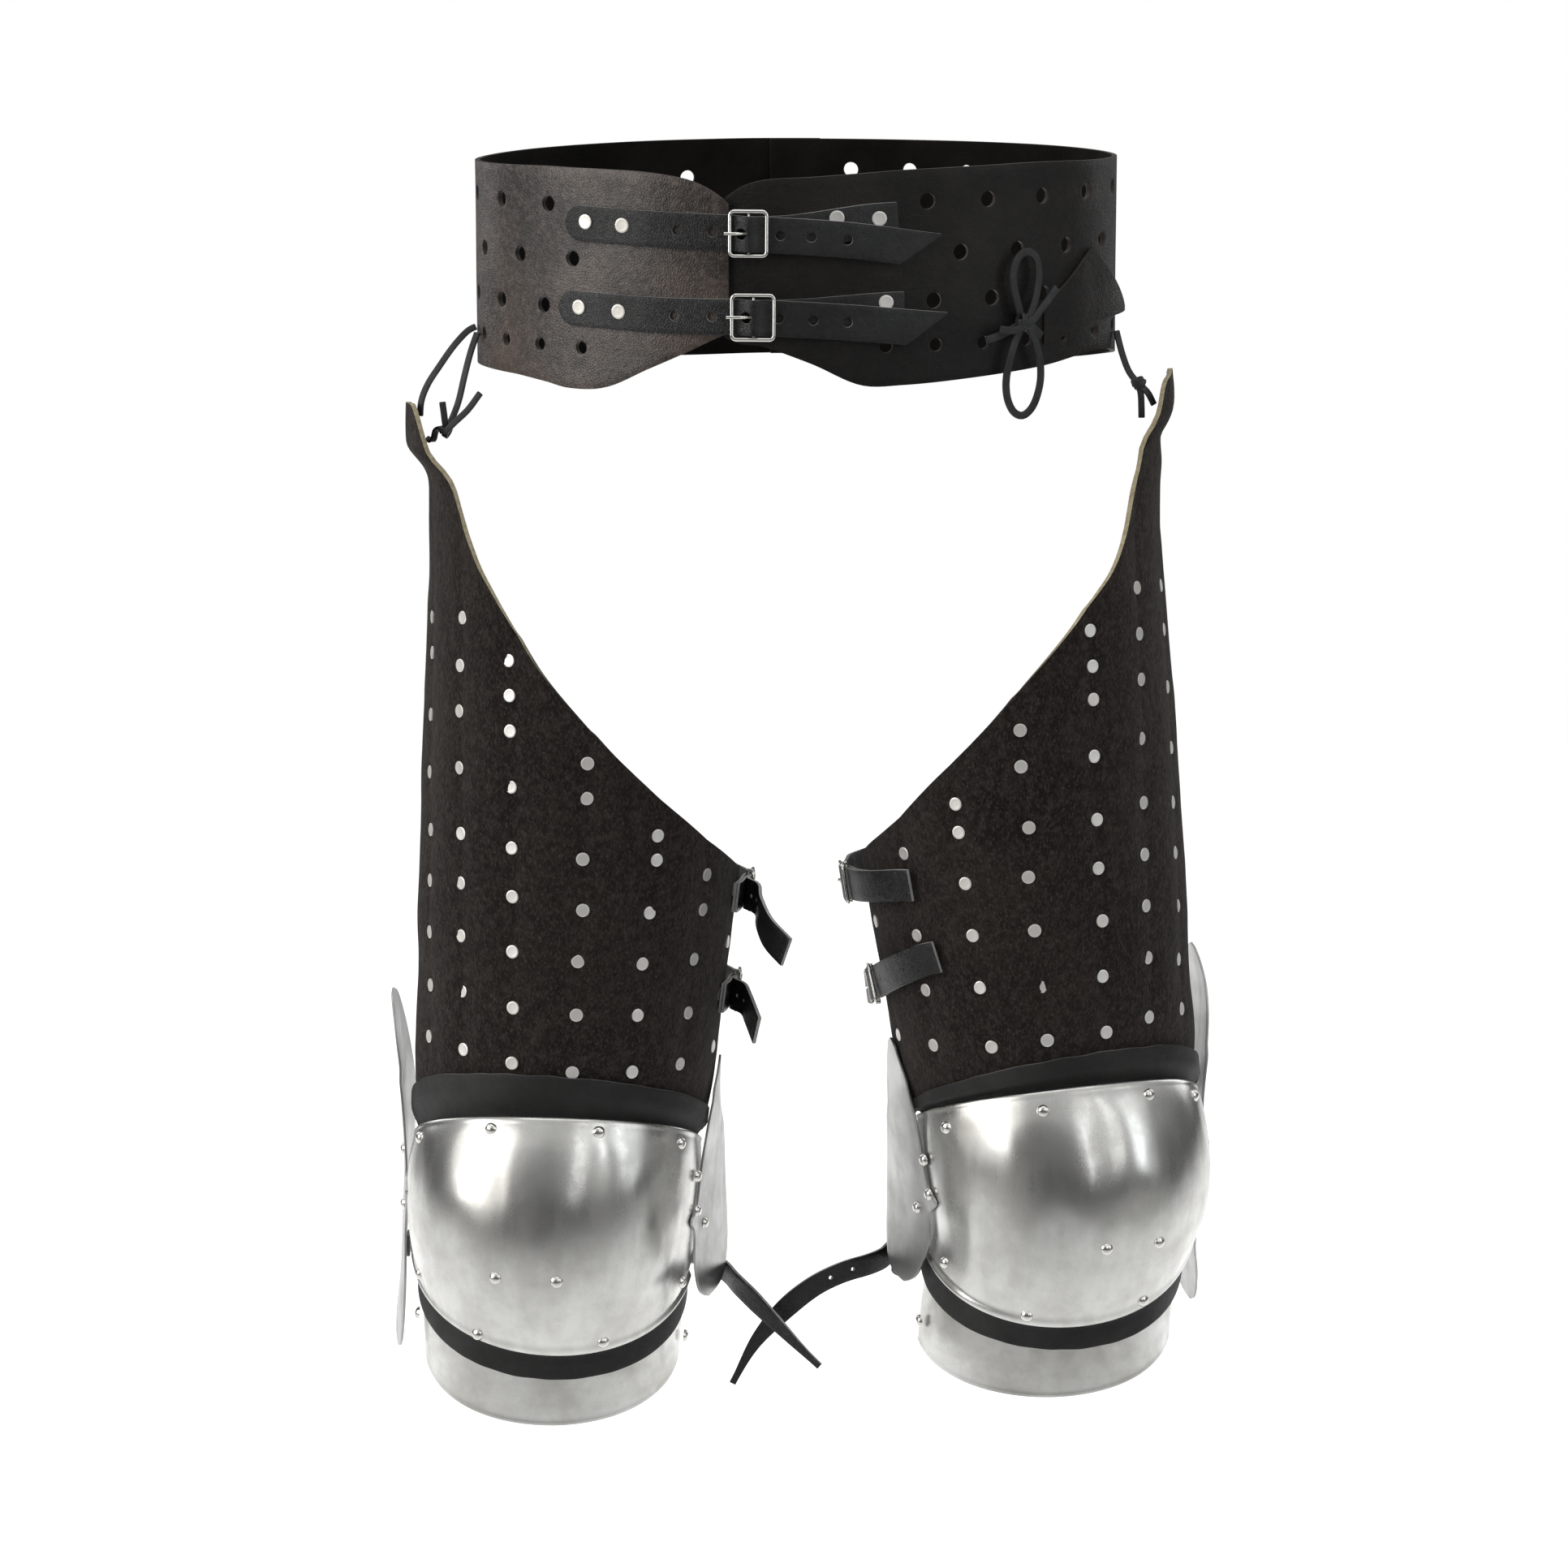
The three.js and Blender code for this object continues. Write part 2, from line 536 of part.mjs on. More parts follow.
const suedeEdges = [ // the suede's upper edge on each leg by the turn from the front
  { turn: -94, right: 138, left: 146 }, { turn: -75, right: 144.5, left: 153.5 },
  { turn: -52, right: 162.5, left: 172.5 }, { turn: -30, right: 187, left: 201 },
  { turn: -11, right: 213.5, left: 228 }, { turn: 5, right: 239, left: 253.5 },
  { turn: 19, right: 264, left: 275.5 }, { turn: 31, right: 289, left: 294 },
  { turn: 40, right: 308, left: 309 },
  { turn: 48, right: 327, left: 329 }, { turn: 56, right: 349, left: 362 },
  { turn: 65, right: 385, left: 403 },
  { turn: 74, right: 402, left: 411 }, { turn: 82, right: 403, left: 412 },
  { turn: 92, right: 399, left: 409 },
  { turn: 100, right: 370, left: 380 }, { turn: 106, right: 312, left: 322 },
  { turn: 113, right: 266, left: 276 },
];
const rivetColumns = [ // each column of rivets leans in a little towards the knee
  { high: -77, low: -74 }, { high: -50, low: -48 }, { high: -26, low: -24.5 }, { high: 0, low: -2 },
  { high: 28, low: 20 }, { high: 52, low: 41.5 }, { high: 77, low: 64 }, { high: 103, low: 89 },
];
const columnTurn = (index, height) => {
  const { high, low } = rivetColumns[index];
  return mix(low, high, clamp((height - 30) / 260, 0, 1.3));
};

function legSkin(leg) {
  return (turn, height, out) => {
    const angle = degToRad(turn);
    const side = read(sections, 'height', 'side', height) + read(leg.flare, 'height', 'out', height);
    const front = read(sections, 'height', 'front', height);
    const normal = vector(Math.sin(angle) / side, -Math.cos(angle) / front, 0).normalize();
    const x = read(leg.shift, 'height', 'out', height) + side * Math.sin(angle) + out * normal.x;
    return vector(leg.mirror * x, -front * Math.cos(angle) + out * normal.y, height);
  };
}

function ribOut(turn, height) {
  for (let i = 0; i < rivetColumns.length - 1; i += 1) {
    const [start, end] = [columnTurn(i, height), columnTurn(i + 1, height)];
    const across = (turn - start) / (end - start);
    if (across > 0 && across < 1) return suede.rib * Math.sin(Math.PI * across) ** 0.7;
  }
  return 0;
}

const reach = { cop: 84, lame: 96 }; // degrees each side of the knee's front
const wings = [
  { // a wing's edges by height over its cusp, as turns from the knee's front
    name: 'outer', side: 1,
    outline: [
      { rise: -107, front: 91, back: 97 }, { rise: -96, front: 86, back: 104 },
      { rise: -60, front: 80, back: 111 },
      { rise: -10, front: 77.5, back: 113 }, { rise: 0, front: 72, back: 113 },
      { rise: 9, front: 77.5, back: 113 },
      { rise: 50, front: 79, back: 111 }, { rise: 85, front: 82, back: 106 },
      { rise: 108, front: 87, back: 100 },
      { rise: 117, front: 91, back: 96 },
    ],
  },
  {
    name: 'inner', side: -1,
    outline: [
      { rise: -54, front: 89, back: 95 }, { rise: -46, front: 84, back: 104 },
      { rise: -26, front: 79, back: 111 },
      { rise: -8, front: 77.5, back: 113 }, { rise: 0, front: 72, back: 113 },
      { rise: 8, front: 77.5, back: 113 },
      { rise: 45, front: 79, back: 111 }, { rise: 72, front: 83, back: 106 },
      { rise: 90, front: 89, back: 100 },
      { rise: 96, front: 92, back: 97 },
    ],
  },
];

function buildLeg(leg) {
  const frame = new THREE.Group();
  frame.position.set(...leg.knee);
  frame.rotation.y = -leg.mirror * degToRad(leg.lean);
  group.add(frame);
  const add = (name, geometry, material) => addMesh(frame, `${leg.name}_${name}`, geometry, material);
  const surface = legSkin(leg);
  const thigh = (turn, height, out) => surface(turn + leg.thighTurn, height, out);

  // suede, with its tongue up to the hip and its lower edge drawn in under the knee's top strip
  const stripTop = kneeEdge(leg.stripTop);
  const copTop = kneeEdge(leg.copTop);
  const lap = (turn) => Math.min(8, 0.5 * (stripTop(turn) - copTop(turn)));
  const high = (turn) => read(suedeEdges, 'turn', leg.name, turn);
  const tucked = (turn, height) => 1 - smoothstep(height - stripTop(turn), -8, 25);
  const suedeIn = (turn, height) => -suede.tuck * tucked(turn, height);
  add('cuisse', wall({
    skin: thigh, from: suede.innerEdge, to: suede.outerEdge, columns: 36, rows: suede.rows.length - 1,
    levels: (turn) => suede.rows.map((row) => mix(stripTop(turn) - lap(turn), high(turn), row)),
    inner: suedeIn,
    outer: (turn, height) => (
      suedeIn(turn, height) + suede.leather + (1 - tucked(turn, height)) * ribOut(turn, height)
    ),
  }), materials.suede);

  // splints under the suede, each lapped over the next
  for (let i = 0; i < rivetColumns.length - 1; i += 1) {
    const under = i % 2 ? steel.clear + steel.splint + 0.5 : steel.clear;
    const across = (t, height) => (
      mix(columnTurn(i, height) - splintLap, columnTurn(i + 1, height) + splintLap, t)
    );
    const splintTop = (t) => Math.min(338, high(clamp(across(t, 250), suede.innerEdge, 96)) - 9);
    add(`splint_${i + 1}`, wall({
      skin: (t, height, out) => thigh(across(t, height), height, out),
      from: 0, to: 1, columns: 3, rows: 2, low: () => 46, high: splintTop,
      inner: () => -under - steel.splint, outer: () => -under,
    }), materials.satinSteel);
  }

  // the knee's leather strips, cop and lame
  const edges = {
    copTop, copBottom: kneeEdge(leg.copBottom),
    stripBottom: kneeEdge(leg.stripBottom), lameBottom: kneeEdge(leg.lameBottom),
  };
  const copOut = (turn, height) => {
    const down = clamp((edges.copTop(turn) - height) / (edges.copTop(turn) - edges.copBottom(turn)), 0, 1);
    const facing = Math.max(0, Math.cos(degToRad(turn - leg.kneeTurn)));
    const bowl = Math.sin(Math.PI * down ** 0.9) ** 0.75;
    return bowl * (3 + 15 * facing ** 1.6) + 2 * smoothstep(down, 0.95, 1);
  };
  const ring = (name, material, half, shape) => add(name, wall({
    skin: surface, from: leg.kneeTurn - half, to: leg.kneeTurn + half, columns: 18, ...shape,
  }), material);
  const overSuede = (turn, height) => ( // from inside the cop's upper edge to outside the suede's lower one
    height > copTop(turn) + 1.5 ? 4.7 : -2 * gap
  );
  ring('knee_strip_top', materials.strapLeather, reach.cop, {
    rows: 3,
    levels: (turn) => [
      copTop(turn) - 12, copTop(turn) + 1, stripTop(turn) - lap(turn) - 1, stripTop(turn),
    ],
    inner: (turn, height) => overSuede(turn, height) - 2, outer: overSuede,
  });
  ring('cop', materials.brightSteel, reach.cop, {
    rows: 8, low: edges.copBottom, high: edges.copTop,
    inner: copOut, outer: (turn, height) => copOut(turn, height) + steel.cop,
  });
  const underCop = (turn, height) => ( // the strip follows the cop's inner face up from its lower edge
    height > edges.copBottom(turn) ? copOut(turn, height) - 0.7 : -gap
  );
  ring('knee_strip_low', materials.strapLeather, reach.lame, {
    rows: 2, low: edges.stripBottom, high: (turn) => edges.copBottom(turn) + 12,
    inner: (turn, height) => underCop(turn, height) - 2, outer: underCop,
  });
  ring('lame', materials.brightSteel, reach.lame, {
    rows: 1, low: edges.lameBottom, high: (turn) => edges.stripBottom(turn) + 12,
    inner: () => -gap - 3 - steel.lame, outer: () => -gap - 3,
  });

  // side wings, standing away from the leg towards the back and the tips
  const wingOuts = {};
  for (const { name, side, outline } of wings) {
    const cusp = leg.cusps[name];
    wingOuts[name] = (rise, turn) => {
      const place = side * turn + leg.kneeTurn;
      const height = cusp + rise;
      const back = Math.max(0, (turn - 75) / 38);
      const leather = suede.leather + mix(2 + gap, suede.rib, smoothstep(height - stripTop(place), 2, 14));
      const carried = Math.max(copOut(place, height) + steel.cop, leather);
      const stand = read(leg.wingOuts[name], 'rise', 'stand', rise);
      return carried + gap + stand * back ** 1.8 + read(leg.wingOuts[name], 'rise', 'flare', rise);
    };
    add(`wing_${name}`, wall({
      skin: (rise, turn, out) => surface(side * turn + leg.kneeTurn, cusp + rise, out),
      stops: outline.flatMap(({ rise }, i) => (i ? [mix(outline[i - 1].rise, rise, 0.5), rise] : [rise])),
      rows: 2,
      low: (rise) => read(outline, 'rise', 'front', rise),
      high: (rise) => read(outline, 'rise', 'back', rise),
      inner: wingOuts[name], outer: (rise, turn) => wingOuts[name](rise, turn) + steel.wing,
    }), materials.satinSteel);
  }
  return { leg, frame, add, surface, thigh, wingOuts };
}
const builtLegs = legs.map(buildLeg);

// ---- straps round the legs ----
// A strap's route: round the back of the leg, over its buckle's bar and on, as turns from the leg's front.
function strapStations(place, { from, bar, to, base, heightAt, clear, slack = 0, dip = 0 }) {
  const arcs = [];
  const rounds = Math.ceil((bar - 12 - from) / 21);
  for (let i = 0; i <= rounds; i += 1) arcs.push(mix(from, bar - 12, i / rounds));
  for (let step = -3; step <= 3; step += 1) arcs.push(bar + 3 * step);
  const ends = Math.ceil((to - bar - 9) / 9);
  for (let i = 1; i <= ends; i += 1) arcs.push(mix(bar + 9, to, i / ends));
  return arcs.map((arc) => {
    const bump = 0.5 + 0.5 * Math.cos(Math.PI * Math.min(1, Math.abs(arc - bar) / strapBump));
    const low = mix(clear, stack.tail, smoothstep(arc, bar - 30, bar - 10));
    const loose = slack * smoothstep(arc, bar - 110, bar - 50) * (1 - smoothstep(arc, bar - 40, bar - 12));
    const start = dip * (1 - smoothstep(arc, from + 18, from + 40));
    const lift = low + loose - start + bump * (stack.overBar - stack.tail) + strapSize.leather / 2;
    const { up: wide } = strapFrame(place, arc, heightAt, base);
    return { centre: place(arc, heightAt(arc), base + lift), wide };
  });
}

const prongHole = (place, arc, heightAt, base) => {
  const holder = new THREE.Object3D();
  seat(holder, place, arc, heightAt, base);
  holder.updateMatrix();
  return box([6.8, 3, 30], [-3.8, 0, 8]).applyMatrix4(holder.matrix);
};

const thighStraps = [
  {
    name: 'upper', width: 19,
    heights: [
      { turn: -258, height: 140 }, { turn: -180, height: 128 },
      { turn: -88, height: 130 }, { turn: -48, height: 136 },
    ],
    right: {
      bar: -90, end: -82, drop: 4.5,
      tail: [[-107.5, -25, 125], [-109, -36, 120], [-115, -52, 111], [-126.5, -68, 103]],
    },
    left: { bar: -87, end: -45, slack: 7, stand: 5, dip: 0.5 },
  },
  {
    name: 'lower', width: 19,
    heights: [
      { turn: -258, height: 80 }, { turn: -180, height: 54 },
      { turn: -105, height: 57 }, { turn: -84, height: 67 },
      { turn: -40, height: 93 },
    ],
    right: {
      bar: -90, end: -82, drop: 0,
      tail: [[-104, -23, 63.5], [-106.5, -32, 61], [-110, -44, 56], [-113, -54, 51.5]],
    },
    left: { bar: -84, end: -38, slack: 12 },
  },
];

for (const { leg, add, thigh } of builtLegs) {
  for (const { name, width, heights, ...sides } of thighStraps) {
    const { bar, end, drop = 0, slack = 0, stand = 0, dip = 0, tail = [] } = sides[leg.name];
    const barArc = bar * arcPerDegree;
    const off = (arc) => ( // how far the buckled stretch stands off the suede
      stand * smoothstep(arc, barArc - 70, barArc - 25) * (1 - smoothstep(arc, barArc + 10, barArc + 68))
    );
    const place = (arc, height, out) => thigh(arc / arcPerDegree, height, out + off(arc));
    const level = (arc) => tail.length > 0 && arc > barArc - 40; // level where it leaves the leg
    const heightAt = (arc) => read(heights, 'turn', 'height', level(arc) ? bar : arc / arcPerDegree) - drop;
    const base = suede.leather + suede.rib;
    const stations = strapStations(place, {
      from: -258 * arcPerDegree, bar: barArc, to: end * arcPerDegree, base, heightAt, clear: gap, slack, dip,
    });
    const wide = vector(0, 0, Math.sign(stations.at(-1).wide.z));
    for (const [x, y, z] of tail) stations.push({ centre: vector(leg.mirror * x, y, z), wide });
    const strap = band({ stations, width, leather: strapSize.leather, stepsPerStation: 1 });
    const hole = prongHole(place, barArc, heightAt, base);
    add(`thigh_strap_${name}`, punched(strap, [hole]), materials.strapLeather);
    add(`thigh_chape_${name}`, chapeGeometry(place, {
      bar: barArc, end: barArc + 30, base, heightAt, width: width - 1, pitch: 8,
    }), materials.strapLeather);
    const buckle = buckleGeometry({ length: 22, height: 25, wire: 2, sides: 1 });
    seat(add(`thigh_buckle_${name}`, buckle, materials.nickel), place, barArc, heightAt, base);
  }
}

// ---- knee straps: from the outer wing round the back to a buckle on the inner wing, the tail free ----
const kneeStrap = {
  width: 13, from: -263, chapeEnd: -97, arcPerDegree: 1.6, backOut: 7, wide: vector(0, 0, 1),
  heights: { right: -117, left: -110 }, underWing: { right: 1.5, left: 0.9 },
  bars: { right: -131, left: -134 },
  tails: { // x outwards, y back, z up in the leg's frame
    right: [
      [-99, 40, -118.5], [-107, 24.5, -119.5], [-113, 8, -121], [-125.5, -10, -127], [-140, -25, -136],
      [-154, -33, -146.5], [-167, -38, -156],
    ],
    left: [
      [-106, 30, -111], [-111, 23, -113], [-120.5, 12, -113], [-135.5, 2, -113], [-151, -6, -116],
      [-164, -10, -122], [-178, -11, -132], [-194.5, -10, -148], [-211, -9, -172],
    ],
  },
};
for (const { leg, add, surface, wingOuts } of builtLegs) {
  const { width, from, chapeEnd, arcPerDegree: pace, backOut, wide, tails } = kneeStrap;
  const height = kneeStrap.heights[leg.name];
  const bar = kneeStrap.bars[leg.name];
  const wingEdge = 104;
  const under = (name, turn, depth) => (
    wingOuts[name](height - leg.cusps[name], Math.min(wingEdge, turn)) - depth
  );
  const carried = (turn) => { // from inside the outer wing to inside the inner one
    const start = under('outer', 360 + turn, strapSize.leather + 1.8);
    const end = under('inner', -turn, stack.tail + kneeStrap.underWing[leg.name]);
    return mix(mix(start, backOut, smoothstep(turn, -246, -210)), end, smoothstep(turn, -170, -140));
  };
  const place = (arc, at, out) => surface(arc / pace + leg.kneeTurn, at, out + carried(arc / pace));
  const heightAt = () => height;
  const stations = strapStations(place, {
    from: from * pace, bar: bar * pace, to: bar * pace + 13, base: 0, heightAt, clear: 0,
  });
  for (const [x, y, z] of tails[leg.name]) stations.push({ centre: vector(leg.mirror * x, y, z), wide });
  stations.forEach((station) => station.wide.z < 0 && station.wide.negate());
  const taper = (u) => mix(1, 0.3, smoothstep(u, 0.82, 1));
  const strap = band({ stations, width, leather: strapSize.leather, stepsPerStation: 1, taper });
  add('knee_strap', punched(strap, [prongHole(place, bar * pace, heightAt, 0)]), materials.strapLeather);
  add('knee_chape', chapeGeometry(place, {
    bar: bar * pace, end: chapeEnd * pace, base: 0, heightAt, width: width - 1, pitch: 8,
  }), materials.strapLeather);
  const buckle = buckleGeometry({ length: 19, height: 20, wire: 1.8, sides: 1 });
  seat(add('knee_buckle', buckle, materials.nickel), place, bar * pace, heightAt, 0);
}

// ---- laces, in the belt's frame ----
const laceSize = { bow: 3.8, hip: 3.6, pitch: 13 };
const ball = (radius, centre) => (
  new THREE.SphereGeometry(radius, 7, 5).scale(1, 0.7, 1).translate(...centre)
);

const bow = { // arc, height and distance out over the ring
  knot: [130, -24, 10],
  strands: [
    [[108.5, -33.5, 5.1], [115, -32, 6.6], [122, -28, 9], [130, -24, 10]],
    [[143, -33, 8.2], [140, -30, 9], [136, -27, 9.5], [130, -24, 10]],
    [
      [130, -24, 10], [124, -8, 10], [124, 6, 9.5], [131, 15, 9],
      [137, 12, 9.5], [140, 2, 10], [136, -10, 10.5],
      [130, -24, 10],
    ],
    [
      [130, -24, 10], [122, -40, 10], [119.5, -58, 8], [124, -73, 7], [131, -77, 7], [139, -72, 7.5],
      [142, -58, 9], [138, -42, 11], [130, -24, 10],
    ],
    [[130, -24, 10], [138, -19, 11], [146, -12, 10.5], [152, -6, 10]],
    [[130, -24, 10], [122, -27, 11], [115, -27, 10.5]],
  ],
};
const bowCords = bow.strands.map((strand) => {
  const points = strand.map((point) => ringPoint(...point).toArray());
  return cord(points, laceSize.bow, laceSize.pitch);
});
addMesh(group, 'bow_lace', joined([ball(6, ringPoint(...bow.knot)), ...bowCords]), materials.lace);

const hipLaces = [
  {
    name: 'right_hip_lace_front',
    strands: [
      [
        [-187, -16, -38], [-191.5, -16, -40.3], [-199.5, -18, -48.6],
        [-208.1, -20, -60.5], [-215.6, -21, -72],
        [-219.2, -21.5, -81.5], [-220, -21.5, -90],
      ],
    ],
  },
  {
    name: 'right_hip_lace_back', knot: [-204, -36, -97],
    strands: [
      [[-185.8, -24, -41], [-189.4, -30, -52], [-192.9, -32, -65.3], [-197, -34, -82], [-204, -36, -97]],
      [[-204, -36, -97], [-204.8, -40, -89], [-205.4, -41, -80]],
      [[-204, -36, -97], [-199, -41.5, -92.5], [-190.5, -43, -84.5], [-183, -44, -74.5]],
      [[-204, -36, -97], [-207.2, -33, -95.5], [-210.4, -29, -98], [-212.5, -25, -104]],
    ],
  },
  {
    name: 'left_hip_lace', knot: [200, -31, -70],
    strands: [
      [
        [187.4, -22, -40], [191, -26, -54], [195, -28, -64], [200, -31, -70], [205.2, -33.1, -75],
        [209.2, -32.7, -82.4],
      ],
      [[200, -31, -70], [201.5, -33, -78], [202, -33, -90]],
    ],
  },
];
for (const { name, knot, strands } of hipLaces) {
  const cords = strands.map((strand) => cord(strand, laceSize.hip, laceSize.pitch));
  addMesh(group, name, joined(knot ? [ball(5, knot), ...cords] : cords), materials.lace);
}

export default group;
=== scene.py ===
import bisect
import math
import random
import bmesh
import bpy
from mathutils import Matrix, Vector, noise


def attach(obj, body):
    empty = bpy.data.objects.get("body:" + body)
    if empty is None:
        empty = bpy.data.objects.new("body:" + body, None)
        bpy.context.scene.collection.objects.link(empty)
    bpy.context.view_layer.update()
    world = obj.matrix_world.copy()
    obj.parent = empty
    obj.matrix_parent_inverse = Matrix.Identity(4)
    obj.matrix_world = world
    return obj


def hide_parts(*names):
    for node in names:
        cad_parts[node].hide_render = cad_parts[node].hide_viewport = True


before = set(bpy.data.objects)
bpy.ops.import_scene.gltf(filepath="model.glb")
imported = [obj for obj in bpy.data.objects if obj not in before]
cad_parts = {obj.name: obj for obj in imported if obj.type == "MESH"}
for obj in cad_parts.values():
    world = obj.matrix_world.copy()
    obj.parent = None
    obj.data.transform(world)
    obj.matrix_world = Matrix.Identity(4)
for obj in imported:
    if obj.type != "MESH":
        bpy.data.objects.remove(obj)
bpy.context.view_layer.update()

bpy.ops.object.select_all(action="DESELECT")
random.seed(11)
mm = 0.001


# small sums used by every piece
def clamp(value, low, high):
    return max(low, min(high, value))


def mix(start, end, t):
    return start + (end - start) * t


def smoothStep(value, low, high):
    t = clamp((value - low) / (high - low), 0, 1)
    return t * t * (3 - 2 * t)


# a smooth curve through one column of a table sorted by its first column
def readTable(table, at, column=1):
    last = len(table) - 1
    place = clamp(at, table[0][0], table[last][0])
    row = 0
    while row < last - 1 and place > table[row + 1][0]:
        row += 1
    before, start, end, after = (table[clamp(i, 0, last)] for i in (row - 1, row, row + 1, row + 2))
    step = end[0] - start[0]
    leave = (end[column] - before[column]) / (end[0] - before[0]) * step
    arrive = (after[column] - start[column]) / (after[0] - start[0]) * step
    t = (place - start[0]) / step
    rise = end[column] - start[column]
    return start[column] + t * (leave + t * (3 * rise - 2 * leave - arrive + t * (leave + arrive - 2 * rise)))


def ripple(point, size, seed=0.0):
    return noise.noise(Vector(point) / size + Vector((seed, 1.7 * seed, 0.3 * seed)))


# the camera, level with the belt and tilted down
cameraView = {"place": (-0.0067, -2.7, 0.15), "down": 9.72, "lens": 105}
bpy.ops.object.camera_add(
    location=cameraView["place"], rotation=(math.radians(90 - cameraView["down"]), 0, 0))
camera = bpy.context.object
camera.data.lens = cameraView["lens"]
camera.data.sensor_width = 36
camera.data.clip_end = 100
bpy.context.scene.camera = camera
bpy.ops.object.select_all(action="DESELECT")


# ---- picking, applying and smoothing ----
def pick(*objects):
    bpy.ops.object.select_all(action="DESELECT")
    for obj in objects:
        obj.select_set(True)
    bpy.context.view_layer.objects.active = objects[0]


def applyAll(obj):
    pick(obj)
    for modifier in list(obj.modifiers):
        bpy.ops.object.modifier_apply(modifier=modifier.name)


def editAll(obj, *steps):
    pick(obj)
    bpy.ops.object.mode_set(mode="EDIT")
    bpy.ops.mesh.select_all(action="SELECT")
    for step in steps:
        step()
    bpy.ops.object.mode_set(mode="OBJECT")


def volumeOf(obj):
    bm = bmesh.new()
    bm.from_mesh(obj.data)
    volume = bm.calc_volume(signed=True)
    bm.free()
    return volume


def turnOut(obj):
    if volumeOf(obj) < 0:
        editAll(obj, bpy.ops.mesh.flip_normals)


def smoothBy(obj, degrees=38):
    pick(obj)
    bpy.ops.object.shade_smooth_by_angle(angle=math.radians(degrees))


def addSlots(obj, count):
    while len(obj.data.materials) < count:
        obj.data.materials.append(None)


def addMaterials(obj, *materials):
    addSlots(obj, len(materials))
    for slot, material in enumerate(materials):
        obj.data.materials[slot] = material


def hand(obj, slotName, *nodes):
    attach(obj, "root")
    if nodes:
        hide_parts(*nodes)
    return obj


# paints a finished piece, parents it to the root and hides the model parts it replaces
def dress(obj, slotName, materials, *nodes):
    addMaterials(obj, *materials)
    return hand(obj, slotName, *nodes)


def newest(name):
    obj = bpy.context.object
    obj.name = obj.data.name = name
    return obj


def joinPieces(name, pieces):
    pick(*pieces)
    if len(pieces) > 1:
        bpy.ops.object.join()
    return newest(name)


def settle(obj):
    pick(obj)
    bpy.ops.object.transform_apply(location=True, rotation=True, scale=True)


def addWall(obj, thickness, offset, rim):
    wall = obj.modifiers.new("wall", "SOLIDIFY")
    wall.thickness = thickness
    wall.offset = offset
    if rim:  # the cut edge takes the second slot
        addSlots(obj, 2)
        wall.material_offset_rim = 1
    return wall


def addBevel(obj, width, degrees=50):
    edge = obj.modifiers.new("edge", "BEVEL")
    edge.width = width
    edge.segments = 2
    edge.limit_method = "ANGLE"
    edge.angle_limit = math.radians(degrees)


# holes through a flat plate: along, across, radius and, for a slot, its stretch
def cutHoles(obj, holes, thickness, rim):
    cutters = []
    for along, across, radius, *long in holes:
        bpy.ops.mesh.primitive_cylinder_add(
            vertices=20, radius=radius, depth=4 * thickness, location=(along, across, thickness / 2),
            scale=(*(long or [1]), 1, 1))
        cutters.append(bpy.context.object)
    cutter = joinPieces("cutter", cutters)
    settle(cutter)
    if rim:
        addSlots(cutter, 2)
        for face in cutter.data.polygons:
            face.material_index = 1
    cut = obj.modifiers.new("cut", "BOOLEAN")
    cut.operation = "DIFFERENCE"
    cut.solver = "EXACT"
    cut.object = cutter
    applyAll(obj)
    bpy.data.objects.remove(cutter)


# a flat plate with its holes, bent afterwards onto its surface by bend(along, across, out)
def plate(name, start, end, low, high, thickness, bend, holes=(), cell=3.0, cellAcross=3.0, bevel=0.4, rim=False):
    columns = max(2, round((end - start) / cell))
    widest = max(high(mix(start, end, t / 8)) - low(mix(start, end, t / 8)) for t in range(9))
    rows = max(2, round(widest / cellAcross))
    bpy.ops.mesh.primitive_grid_add(x_subdivisions=columns, y_subdivisions=rows, size=1)
    obj = newest(name)
    for vertex in obj.data.vertices:
        along = mix(start, end, vertex.co.x + 0.5)
        vertex.co = (along, mix(low(along), high(along), vertex.co.y + 0.5), 0)
    layer = obj.data.uv_layers.active.data
    for loop in obj.data.loops:
        co = obj.data.vertices[loop.vertex_index].co
        layer[loop.index].uv = (co.x * mm, co.y * mm)
    addWall(obj, thickness, 1, rim)
    applyAll(obj)
    if holes:
        cutHoles(obj, holes, thickness, rim)
    addBevel(obj, bevel)
    applyAll(obj)
    for vertex in obj.data.vertices:
        vertex.co = Vector(bend(*vertex.co)) * mm
    turnOut(obj)
    smoothBy(obj)
    return obj


# a wall over a curved surface: skin(u, v) gives the outer points, and the wall grows inwards
def shell(name, columns, rows, skin, thickness, outwards, bevel=0.35, rim=False, uv=None):
    bpy.ops.mesh.primitive_grid_add(x_subdivisions=columns, y_subdivisions=rows, size=1)
    obj = newest(name)
    flat = [(vertex.co.x + 0.5, vertex.co.y + 0.5) for vertex in obj.data.vertices]
    for vertex, (u, v) in zip(obj.data.vertices, flat):
        vertex.co = Vector(skin(u, v)) * mm
    if uv:
        layer = obj.data.uv_layers.active.data
        for loop in obj.data.loops:
            layer[loop.index].uv = uv(*flat[loop.vertex_index])
    obj.data.update()
    face = obj.data.polygons[len(obj.data.polygons) // 2 + columns // 2]
    away = Vector(outwards(*face.center))
    if face.normal.dot(away) < 0:
        editAll(obj, bpy.ops.mesh.flip_normals)
    addWall(obj, thickness * mm, -1, rim).use_even_offset = True
    addBevel(obj, bevel * mm)
    applyAll(obj)
    smoothBy(obj)
    return obj


